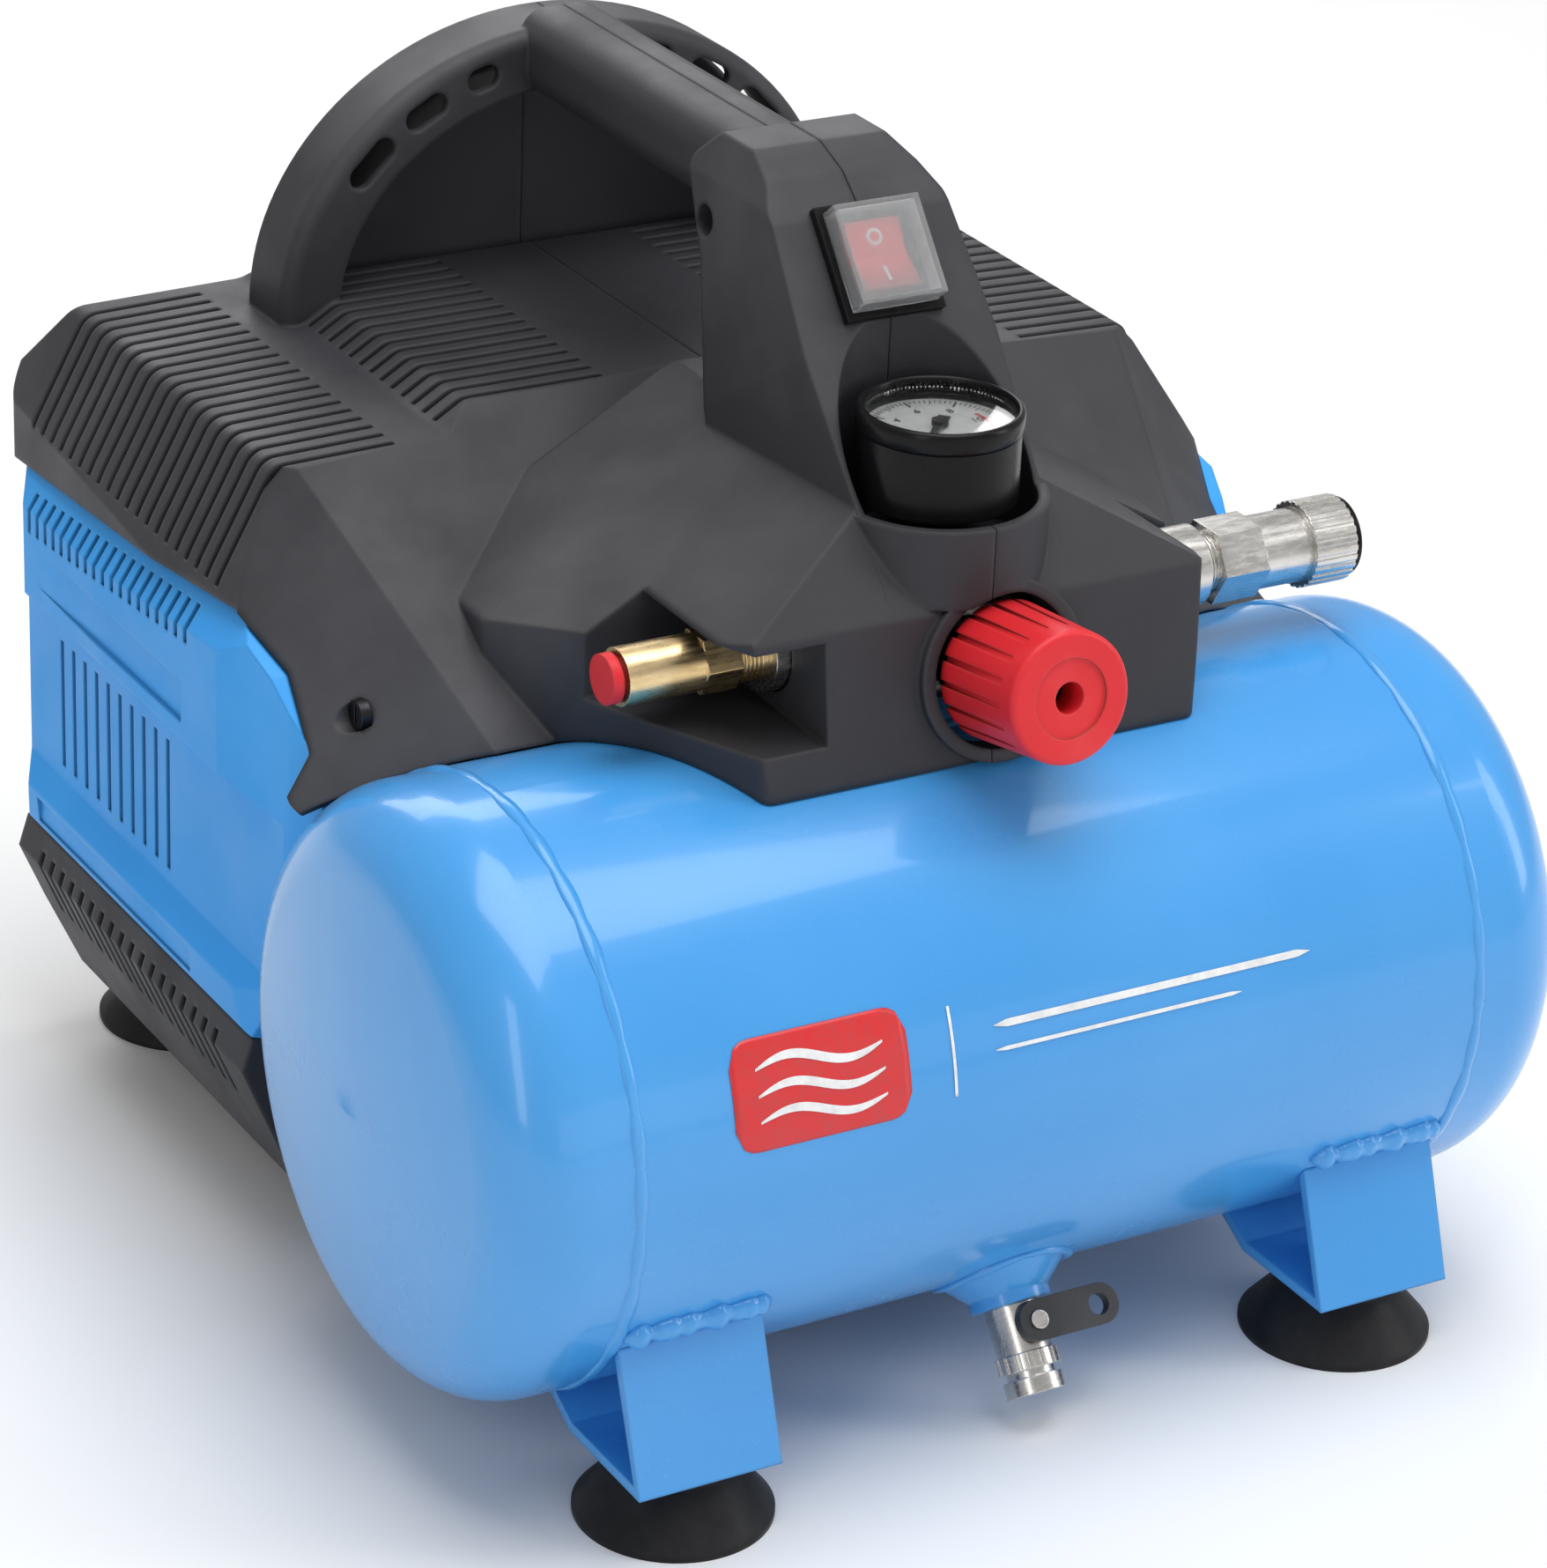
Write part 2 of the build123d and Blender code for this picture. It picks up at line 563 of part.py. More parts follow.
def coupler_body():
    """Nickel quick coupler: spigot, nut, barrel and the socket for the hose plug."""
    body = drum(5.0, -14.0, 0) + drum(8.0, 0, 4.0) + hexagon(20.0, 4.0, 18.0) + drum(10.0, 18.0, 46.0)
    return x_frame(COUPLER_X, 1) * (body - drum(SOCKET_R, 16.0, 47.0))


def coupler_sleeve():
    """Knurled sleeve that is pulled back to free the plug."""
    sleeve = drum(11.8, 33.0, 46.0) - drum(10.0 + FIT, 32.0, 47.0)
    grooves = ring_of(Pos(0, 0, 39.5) * Box(0.8, 1.1, 14.0), 28, 11.8)
    return x_frame(COUPLER_X, 1) * (sleeve - grooves)


def coupler_ring():
    """Black ring that closes the end of the coupler."""
    return x_frame(COUPLER_X, 1) * (drum(10.8, 46.0, 48.0) - drum(SOCKET_R, 45.0, 49.0))


def face_frame(y):
    """Local frame on the sloping console face: Z is outward, Y runs up the slope."""
    dy = FACE_HIGH[0] - FACE_LOW[0]
    dz = FACE_HIGH[1] - FACE_LOW[1]
    z = FACE_LOW[1] + (y - FACE_LOW[0]) * dz / dy
    return Plane(origin=(0, y, z), x_dir=(1, 0, 0), z_dir=(0, -dz, dy))


def block(width, height, z0, z1):
    """Rectangular block centred on the local Z axis."""
    return Pos(0, 0, (z0 + z1) / 2) * Box(width, height, z1 - z0)


def switch_frame():
    """Black switch body with its bezel, open for the rocker."""
    body = block(29.0, 31.0, 0, 2.5) + block(22.0, 24.0, -22.0, 0)
    body -= block(17.0, 21.0, -14.0, 3.0)
    body -= rod("X", PIVOT_R + FIT, -10.2, 20.4, (0, -1.0))
    return face_frame(SWITCH_Y) * body


def rocker_profile():
    """Side view of the rocker: two faces that meet in a shallow valley."""
    return [(-9.6, 4.7), (0, 2.9), (9.6, 4.7), (9.2, -2.0), (3.0, -7.0), (-3.0, -7.0), (-9.2, -2.0)]


def switch_rocker():
    """Red rocker that tips about its cross axis."""
    rocker = prism_x(rocker_profile(), -8.1, 8.1) + rod("X", PIVOT_R, -9.8, 19.6, (0, 0))
    return face_frame(SWITCH_Y) * Pos(0, 0, -1.0) * Rot(-ROCKER_TILT, 0, 0) * rocker


def switch_cover():
    """Clear splash cover over the rocker."""
    cover = block(25.0, 27.0, 2.5, 9.0) - block(22.6, 24.6, 2.0, 7.8)
    return face_frame(SWITCH_Y) * cover


def pressure_switch():
    """Automatic pressure switch on a stub behind the manifold."""
    return box(2.0, 40.0, -54.0, -24.0, 192.0, 226.0) + rod("Y", 5.0, -68.0, 15.0, (20.0, MANIFOLD_Z))


# ---- moulded housing ------------------------------------------------------------------------
HOOD_REAR = 172.0
HOOD_FRONT = -58.0
HOOD_SIDE = 152.0
RIM_CORNER = [(-24.5, 150.0), (-21.0, 165.0), (-5.0, 181.0)]     # (y, z) where the rim steps down
CORNER = (124.0, 12.0, 216.0)        # apex of the hood's front corner facet, right side
CORNER_NORMAL = (0.6, -0.54, 0.59)
POCKET_Y = (-130.0, -62.0)           # recesses for the safety valve and for the coupler
POCKET_Z = (187.0, 214.0)
POCKET_LEFT = -46.0
POCKET_RIGHT = 62.0
PLUG_FRONT = -106.0                  # front wall of the coupler's recess
CUP_R = 29.0                         # collar round the pressure gauge
CUP_TOP = 238.0
COLUMN_SCREW = (-9.0, 289.0)         # (y, z) of the screw that joins the two halves
CORNER_SCREW = (-24.0, 175.0)
COLUMN_HEAD_X = 14.0                 # X of each screw's seat on the right side
CORNER_HEAD_X = 130.0


def rim(y, drop=0.0):
    """Height of the hood's lower rim."""
    return RIM_MID + RIM_SLOPE * y - drop


def hood_form(inset=0.0, drop=0.0):
    """Faceted hood; the inner form is inset by the wall and dropped through the rim."""
    low = 150.0 - drop
    if drop:
        under = [(HOOD_FRONT, low), (HOOD_REAR, low)]
    else:
        under = [(HOOD_FRONT, low), *RIM_CORNER, (14.0, rim(14.0)), (HOOD_REAR, rim(HOOD_REAR))]
    side = under + [(HOOD_REAR, 204.0), (152.0, 231.0), (34.0, 231.0), (HOOD_FRONT, 169.5)]
    front = mirrored([(-HOOD_SIDE, low), (-151.5, 186.0), (-146.5, 197.0), (-132.0, 224.0),
                      (-82.0, 225.5), (-73.0, 231.0)])
    plan = [(-HOOD_SIDE, HOOD_FRONT), (HOOD_SIDE, HOOD_FRONT), (HOOD_SIDE, 27.0), (147.0, HOOD_REAR),
            (-147.0, HOOD_REAR), (-HOOD_SIDE, 27.0)]
    form = prism_x(side, -HOOD_SIDE, HOOD_SIDE, inset, 3.0)
    form &= prism_y(front, HOOD_FRONT, HOOD_REAR, inset, 6.0)
    form &= prism_z(plan, 80.0, 240.0, inset, 8.0)
    for sign in (-1, 1):
        normal = Vector(sign * CORNER_NORMAL[0], *CORNER_NORMAL[1:])
        origin = Vector(sign * CORNER[0], *CORNER[1:]) - inset * normal
        form = split(form, Plane(origin=origin, z_dir=normal), keep=Keep.BOTTOM)
    return form


def console_form(inset=0.0, drop=0.0):
    """Console foot with its sloping shoulders and the column that carries the switch."""
    low = 150.0 - drop
    foot_side = [(-115.0, low), (14.0, low), (14.0, 242.0), (-88.0, 242.0), FACE_LOW, (-115.0, 177.0)]
    foot_front = mirrored([(-100.0, low - 2.0), (-100.0, 198.0), (-20.0, 243.0)])
    foot_plan = [(-64.0, -115.0), (64.0, -115.0), (84.0, -72.0), (100.0, -30.0), (100.0, 14.0),
                 (-100.0, 14.0), (-100.0, -30.0), (-84.0, -72.0)]
    foot = prism_x(foot_side, -110.0, 110.0, inset, 2.0) & prism_y(foot_front, -116.0, 16.0, inset, 2.0)
    foot &= prism_z(foot_plan, 80.0, 250.0, inset, 4.0)
    base = 205.0 - drop
    column_side = [(FACE_LOW[0], base), FACE_LOW, FACE_HIGH, (-32.0, 306.0), (-20.0, 310.5), (-4.0, 310.5),
                   (3.0, 303.0), (-9.0, 279.0), (-20.0, 238.0), (-20.0, base)]
    column_front = mirrored([(-34.0, base - 2.0), (-26.0, 300.0), (-19.0, 311.5)])
    column_plan = [(-26.0, -111.0), (26.0, -111.0), (32.0, 4.0), (-32.0, 4.0)]
    column = prism_x(column_side, -40.0, 40.0, inset, 3.0) & prism_y(column_front, -112.0, 5.0, inset, 3.0)
    column &= prism_z(column_plan, 100.0, 320.0, inset, 5.0)
    return foot + column


def half_ellipse(a, b, base, y0, y1):
    """Upper half of an elliptical prism along Y, with a short skirt below its base height."""
    arch = extrude(Plane.XZ.offset(-y1) * Pos(0, base) * Ellipse(a, b), y1 - y0)
    return arch & box(-a - 1.0, a + 1.0, y0, y1, base - 14.0, base + b + 1.0)


def cowl_form(inset=0.0):
    """Rear intake cowl: an arched block with a scoop hollowed from the front."""
    arch = half_ellipse(COWL_A - inset, COWL_B - inset, COWL_BASE, COWL_FRONT + inset, COWL_REAR - inset)
    if not inset:
        arch = chamfer(arch.edges().filter_by(GeomType.ELLIPSE).group_by(Axis.Y)[-1], 9.0, 6.0)
        arch = fillet(arch.edges().filter_by(GeomType.ELLIPSE).group_by(Axis.Y)[0], 4.0)
    scoop = half_ellipse(COWL_A - RIM_BAND + inset, COWL_B - RIM_BAND + inset, COWL_BASE,
                         COWL_FRONT - 10.0, COWL_REAR - 6.0 - inset)
    return arch - scoop


def handle_bar(inset=0.0):
    """Grip from the console column to the crest of the cowl."""
    section = RectangleRounded(HANDLE_W - 2 * inset, HANDLE_H - 2 * inset, 8.5 - inset)
    return extrude(Plane.XZ.offset(12.0) * Pos(0, HANDLE_Z) * section, -(COWL_FRONT + 18.0))


def hood_vents():
    """Cooling slots: two groups on each side that wrap over the hood's edges."""
    slots = Part()
    outer = [(-142.0, 190.0), (-128.5, 217.0), (-97.0, 218.0), (-97.0, 233.0), (-134.0, 233.0),
             (-156.0, 197.5)]
    inner = [(-79.0, 222.0), (-72.0, 226.0), (-31.0, 226.0), (-31.0, 238.0), (-76.0, 238.0), (-83.0, 229.0)]
    for section, start, count in ((outer, 27.0, 20), (inner, 35.0, 17)):
        for index in range(count):
            y = start + VENT_PITCH * index
            slots += prism_y(section, y, y + VENT_W)
    return both(slots)


def cowl_slots():
    """Air inlets through the front rim of the cowl, three on each side."""
    slots = Part()
    middle_a = COWL_A - RIM_BAND / 2
    middle_b = COWL_B - RIM_BAND / 2
    for angle, length in ((140.0, 17.0), (124.0, 14.0), (110.0, 10.0)):
        x = middle_a * math.cos(math.radians(angle))
        z = middle_b * math.sin(math.radians(angle))
        turn = math.degrees(math.atan2(middle_b * math.cos(math.radians(angle)),
                                       -middle_a * math.sin(math.radians(angle))))
        slot = Rot(0, -turn, 0) * Rot(90, 0, 0) * extrude(SlotOverall(length, 7.0), 6.0)
        slots += Pos(x, COWL_FRONT + 4.5, COWL_BASE + z) * slot
    return both(slots)


def console_liners():
    """Collar round the gauge, walls of the two fitting recesses and the knob's dished seat."""
    collar = Pos(0, GAUGE_Y, 0) * drum(CUP_R, 219.0, 300.0)
    low = POCKET_Z[0] - WALL
    high = POCKET_Z[1] + WALL
    rear = POCKET_Y[1] + WALL
    left = box(-100.0, POCKET_LEFT + WALL, -115.0, rear, low, high)
    right = box(POCKET_RIGHT - WALL, 100.0, -112.0, rear, low, high)
    solid = console_form()
    rise = Pos(0, GAUGE_Y, 0) * drum(CUP_R, 217.0, CUP_TOP)
    return (collar & solid) + rise + (left & solid) + (right & solid) + knob_frame() * drum(24.0, -6.0, 3.0)


def screw_bosses(form):
    """Bosses behind the screws that hold the housing, kept inside its outer form."""
    column = both(rod("X", 7.0, 0, 40.0, COLUMN_SCREW))
    corner = both(rod("X", 8.0, 120.0, 40.0, CORNER_SCREW))
    return (column & form) + (corner & form)


def fitting_cuts():
    """Everything the controls need cut from the console."""
    cuts = box(-110.0, POCKET_LEFT, *POCKET_Y, *POCKET_Z)
    cuts += box(POCKET_RIGHT, 110.0, PLUG_FRONT, POCKET_Y[1], *POCKET_Z)
    cuts += Pos(0, GAUGE_Y, 0) * (drum(CUP_R - WALL, 222.0, 330.0) + drum(9.4, 200.0, 230.0))
    cuts += knob_frame() * drum(20.5, -12.0, 10.0)
    cuts += rod("X", MANIFOLD_R + GAP, -70.0, 160.0, MANIFOLD_AT)
    return cuts + face_frame(SWITCH_Y) * block(22.4, 24.4, -26.0, 1.0)


def screw_recesses():
    """Blind bores that the housing screws are driven in through."""
    recess = rod("X", 4.2, COLUMN_HEAD_X, 60.0, COLUMN_SCREW)
    recess += rod("X", 4.2, CORNER_HEAD_X, 60.0, CORNER_SCREW)
    return both(recess)


def housing():
    """Both halves of the moulding as one shell, before it is parted at the middle."""
    outer = hood_form() + console_form() + cowl_form() + handle_bar()
    inner = hood_form(WALL, 60.0) + console_form(WALL, 60.0) + cowl_form(WALL) + handle_bar(WALL)
    shell = outer - inner - hood_vents() - cowl_slots()
    shell += console_liners() + screw_bosses(outer)
    shell -= fitting_cuts()
    shell -= screw_recesses()
    return shell - rod("X", TANK_R + GAP, -200.0, 400.0, (TANK_Y, TANK_Z))


def housing_screws():
    """Slotted screws at the bottom of the recesses."""
    screws = []
    for x, place in ((COLUMN_HEAD_X, COLUMN_SCREW), (CORNER_HEAD_X, CORNER_SCREW)):
        y, z = place
        head = rod("X", 4.0, x, 3.0, place) - box(x + 1.6, x + 4.0, y - 0.5, y + 0.5, z - 2.6, z + 2.6)
        screws += [head, mirror(head, Plane.YZ)]
    return screws


# ---- side and lower covers, shown for the left side and mirrored for the right --------------
COVER_IN = -118.0        # inner edge of the side covers
COVER_LOW = 68.0
BAND_TOP = (150.0, 162.0)        # heights of the two long recessed panels
BAND_LOW = (75.0, 82.5)
BAND_Y = (40.0, 144.0)


def side_cover_form(inset=0.0):
    """Side cover block: two protruding bands with a set-back middle, and a chamfered front."""
    inner = COVER_IN + (40.0 if inset else 0.0)
    front = [(inner, COVER_LOW), (-140.0, COVER_LOW), (-150.5, 73.0), (-151.5, 84.0), (-146.5, 91.0),
             (-146.5, 140.0), (-153.0, 145.0), (-153.0, 200.0), (inner, 200.0)]
    side = [(6.0, COVER_LOW), (150.0, COVER_LOW), (161.0, 78.0), (161.0, rim(161.0, GAP)),
            (14.5, rim(14.5, GAP)), (-4.6, 180.2), (-20.5, 164.4), (-23.5, 150.0), (-10.0, 92.0)]
    plan = [(inner, -34.0), (-138.0, -34.0), (-146.0, -12.0), (-155.0, 26.0), (-151.5, 150.0),
            (-145.0, 161.5), (inner, 161.5)]
    form = prism_y(front, -40.0, 170.0, inset, 1.5) & prism_x(side, -170.0, -70.0, inset, 2.5)
    return form & prism_z(plan, 60.0, 210.0, inset, 3.0)


def rim_chamfer(inset=0.0):
    """Wedge above the side cover's sloping top edge."""
    y0 = -45.0
    edge = rim(y0)
    wedge = [(-170.0, edge - 36.0), (-157.0, edge - 18.0), (-146.0, edge - 1.0), (-146.0, edge + 20.0),
             (-170.0, edge + 20.0)]
    plane = Plane.XZ.offset(-y0) * Pos(inset, -inset)
    return extrude(plane * outline(wedge), 230.0, dir=(0, 1, RIM_SLOPE))


def side_cover():
    """Left side cover with its small vents, recessed panels and ribs."""
    cover = side_cover_form() - rim_chamfer()
    cover -= side_cover_form(COVER_WALL) - rim_chamfer(COVER_WALL)
    for z0, z1, x in ((*BAND_TOP, -151.8), (*BAND_LOW, -150.0)):
        cover -= box(-170.0, x, *BAND_Y, z0, z1)
    for index in range(10):
        y = 62.0 + 8.0 * index
        cover -= box(-170.0, -145.3, y, y + 2.2, 95.0, 134.0)
    for index in range(19):
        y = 36.0 + 6.0 * index
        z = rim(y)
        vent = [(-156.5, z - 13.5), (-150.6, z - 4.3), (-145.5, z - 7.6), (-151.4, z - 16.8)]
        cover -= prism_y(vent, y, y + 2.2)
    return cover - rod("X", TANK_R + GAP, -200.0, 100.0, (TANK_Y, TANK_Z))


def lower_cover():
    """Left lower cover: a pan whose outer wall slopes in to the floor, with a row of vents."""
    top = COVER_LOW - GAP
    front = [(-SEAM, FOOT_H), (-132.0, FOOT_H), (-149.0, 58.0), (-146.0, top), (-SEAM, top)]
    side = [(12.0, FOOT_H), (159.0, FOOT_H), (164.0, 40.0), (164.0, top), (10.0, top)]
    outer = prism_y(front, 0, 170.0) & prism_x(side, -160.0, 0)
    open_front = [(40.0, FOOT_H), (-132.0, FOOT_H), (-149.0, 58.0), (-146.0, top), (-146.0, 120.0),
                  (40.0, 120.0)]
    open_side = [(12.0, FOOT_H), (159.0, FOOT_H), (164.0, 40.0), (164.0, 120.0), (10.0, 120.0)]
    inner = prism_y(open_front, 0, 170.0, COVER_WALL) & prism_x(open_side, -160.0, 30.0, COVER_WALL)
    cover = outer - inner
    for index in range(18):
        y = 28.0 + 7.0 * index
        cover -= box(-160.0, -138.0, y, y + 2.6, 42.0, 62.0)
    cover -= box(-91.0, -85.0, 0, 30.0, FOOT_H + COVER_WALL, 80.0)
    cover -= rod("Z", FOOT_BOLT_R + 0.3, 0, 40.0, (-FOOT_X, FOOT_Y))
    return cover - rod("X", TANK_R + GAP, -200.0, 400.0, (TANK_Y, TANK_Z))


GLAND_AT = (90.0, 96.0)


def rear_panel():
    """Rear panel between the side covers with horizontal air slots and the cord's hole."""
    panel = box(COVER_IN + GAP, -COVER_IN - GAP, 157.5, 160.5, COVER_LOW + GAP, rim(160.0) - 1.0)
    for row in range(7):
        z = 110.0 + 9.0 * row
        for x in (-60.0, 0.0, 60.0):
            panel -= box(x - 24.0, x + 24.0, 150.0, 170.0, z, z + 3.5)
    return panel - rod("Y", 7.0, 150.0, 20.0, GLAND_AT)


def cord_gland():
    """Strain-relief bush for the mains cord."""
    bush = rod("Y", 7.0, 155.0, 8.0, GLAND_AT) + rod("Y", 9.5, 160.5, 3.0, GLAND_AT)
    bush += rod("Y", 6.0, 163.5, 7.0, GLAND_AT)
    return bush - rod("Y", 3.4, 150.0, 30.0, GLAND_AT)


# ---- assembly -------------------------------------------------------------------------------
def half_of(shell, side):
    """One half of the housing, cut back from the joint line."""
    return shell & box(side * SEAM, side * 200.0, -200.0, 200.0, 0, 400.0)


def tank_nodes():
    """Tank, its fittings, feet and deck."""
    nodes = {
        "tank_shell": tank_shell(),
        "tank_head_right": tank_head(),
        "tank_head_left": mirror(tank_head(), Plane.YZ),
        "tank_bosses": [tank_socket(OUTLET), tank_socket(INLET), drain_boss()],
        "tank_brackets": [tank_bracket(), mirror(tank_bracket(), Plane.YZ)],
        "drain_valve": drain_valve(),
        "drain_lever": drain_lever(),
        "drain_nut": drain_nut(),
        "base_deck": base_deck(),
        "foot_bolts": foot_bolts(),
    }
    for name, x in (("left", -FOOT_X), ("right", FOOT_X)):
        nodes[f"foot_front_{name}"] = rubber_foot(x, -FOOT_Y)
        nodes[f"foot_rear_{name}"] = rubber_foot(x, FOOT_Y)
    return nodes


def pump_nodes():
    """Motor, pump and the pipework behind the tank."""
    return {
        "motor_stator": motor_stator(),
        "motor_cradle": motor_cradle(),
        "motor_rotor": motor_rotor(),
        "motor_shaft": motor_shaft(),
        "motor_end_bell": end_bell(),
        "shaft_bearings": [bearing(-83.5, 13.0), bearing(14.0, 13.0)],
        "crankcase": crankcase(),
        "vibration_mounts": vibration_mounts(),
        "eccentric": eccentric(),
        "piston_rod": piston_rod(),
        "piston_seal": piston_seal(),
        "cylinder": cylinder(),
        "valve_plate": valve_plate(),
        "cylinder_head": cylinder_head(),
        "head_bolts": head_bolts(),
        "cooling_fan_left": fan(-104.0, 7),
        "cooling_fan_right": fan(84.0, 7),
        "capacitor": capacitor(),
        "intake_filter": intake_filter(),
        "delivery_tube": delivery_tube(),
        "check_valve": check_valve(),
    }


def control_nodes():
    """Manifold, gauge, regulator, valves, coupler and switch."""
    return {
        "manifold": manifold(),
        "regulator_bonnet": regulator_bonnet(),
        "regulator_knob": regulator_knob(),
        "gauge_case": gauge_case(),
        "gauge_dial": gauge_dial(),
        "gauge_needle": gauge_needle(),
        "gauge_lens": gauge_lens(),
        "safety_valve_body": safety_valve_body(),
        "safety_valve_cap": safety_valve_cap(),
        "coupler_body": coupler_body(),
        "coupler_sleeve": coupler_sleeve(),
        "coupler_ring": coupler_ring(),
        "pressure_switch": pressure_switch(),
        "switch_frame": switch_frame(),
        "switch_rocker": switch_rocker(),
        "switch_cover": switch_cover(),
    }


def housing_nodes():
    """Moulded housing, covers, rear panel and their screws."""
    shell = housing()
    return {
        "housing_left": half_of(shell, -1),
        "housing_right": half_of(shell, 1),
        "housing_screws": housing_screws(),
        "side_cover_left": side_cover(),
        "side_cover_right": mirror(side_cover(), Plane.YZ),
        "lower_cover_left": lower_cover(),
        "lower_cover_right": mirror(lower_cover(), Plane.YZ),
        "rear_panel": rear_panel(),
        "cord_gland": cord_gland(),
    }


def main():
    """Write one STEP file per node."""
    os.makedirs("parts", exist_ok=True)
    for group in (tank_nodes, pump_nodes, control_nodes, housing_nodes):
        for name, shape in group().items():
            solids = shape if isinstance(shape, list) else [shape]
            export_step(Compound(children=[solid for item in solids for solid in item.solids()]),
                        os.path.join("parts", f"{name}.step"))


if __name__ == "__main__":
    main()
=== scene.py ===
"""Looks of the portable air compressor: materials, welds, decals, dial, light and camera."""
import json
import math

import bmesh
import bpy
from mathutils import Matrix, Vector


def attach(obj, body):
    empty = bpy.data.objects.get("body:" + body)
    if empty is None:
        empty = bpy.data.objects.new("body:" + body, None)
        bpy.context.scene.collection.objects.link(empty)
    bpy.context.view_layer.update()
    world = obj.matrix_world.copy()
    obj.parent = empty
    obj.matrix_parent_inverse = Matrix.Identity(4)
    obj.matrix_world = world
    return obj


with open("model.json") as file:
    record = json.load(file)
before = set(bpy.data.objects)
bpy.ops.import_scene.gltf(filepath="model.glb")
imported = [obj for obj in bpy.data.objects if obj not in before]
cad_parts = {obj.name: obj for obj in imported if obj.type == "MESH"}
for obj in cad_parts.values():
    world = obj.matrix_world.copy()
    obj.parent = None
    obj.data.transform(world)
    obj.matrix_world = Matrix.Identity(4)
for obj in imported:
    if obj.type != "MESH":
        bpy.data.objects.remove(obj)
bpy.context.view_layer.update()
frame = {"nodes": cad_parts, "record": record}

MM = 0.001
TANK_AT = (-0.088, 0.099)        # (y, z) of the tank's axis
TANK_R = 0.080
SEAM_X = 0.1256                  # where the rolled shell meets each pressed head
DRAIN_X = 0.001
DRAIN_LEAN = math.radians(38.0)
BRACKET_X = 0.1033
MANIFOLD_AT = (-0.083, 0.202)
GAUGE_AT = (0.0, -0.085)
DIAL_Z = 0.254
ROCKER_TILT = math.radians(-5.0)                 # lean of the rocker at rest
ROCKER_SLOPE = math.atan2(1.8, 9.6)              # slope of each of the rocker's two faces
MARK_OFFSET = 5.2 * MM                           # from the rocker's middle to each mark
MARK_HEIGHT = 3.90 * MM                          # of the marks over the rocker's axis
MARK_LAYER = (-0.0001, 0.00008)                  # bottom and top of a mark's film
FACE_AT = Vector((0.0, -0.0504, 0.28787))        # centre of the switch on the console face
FACE_N = Vector((0.0, -0.76975, 0.63834))


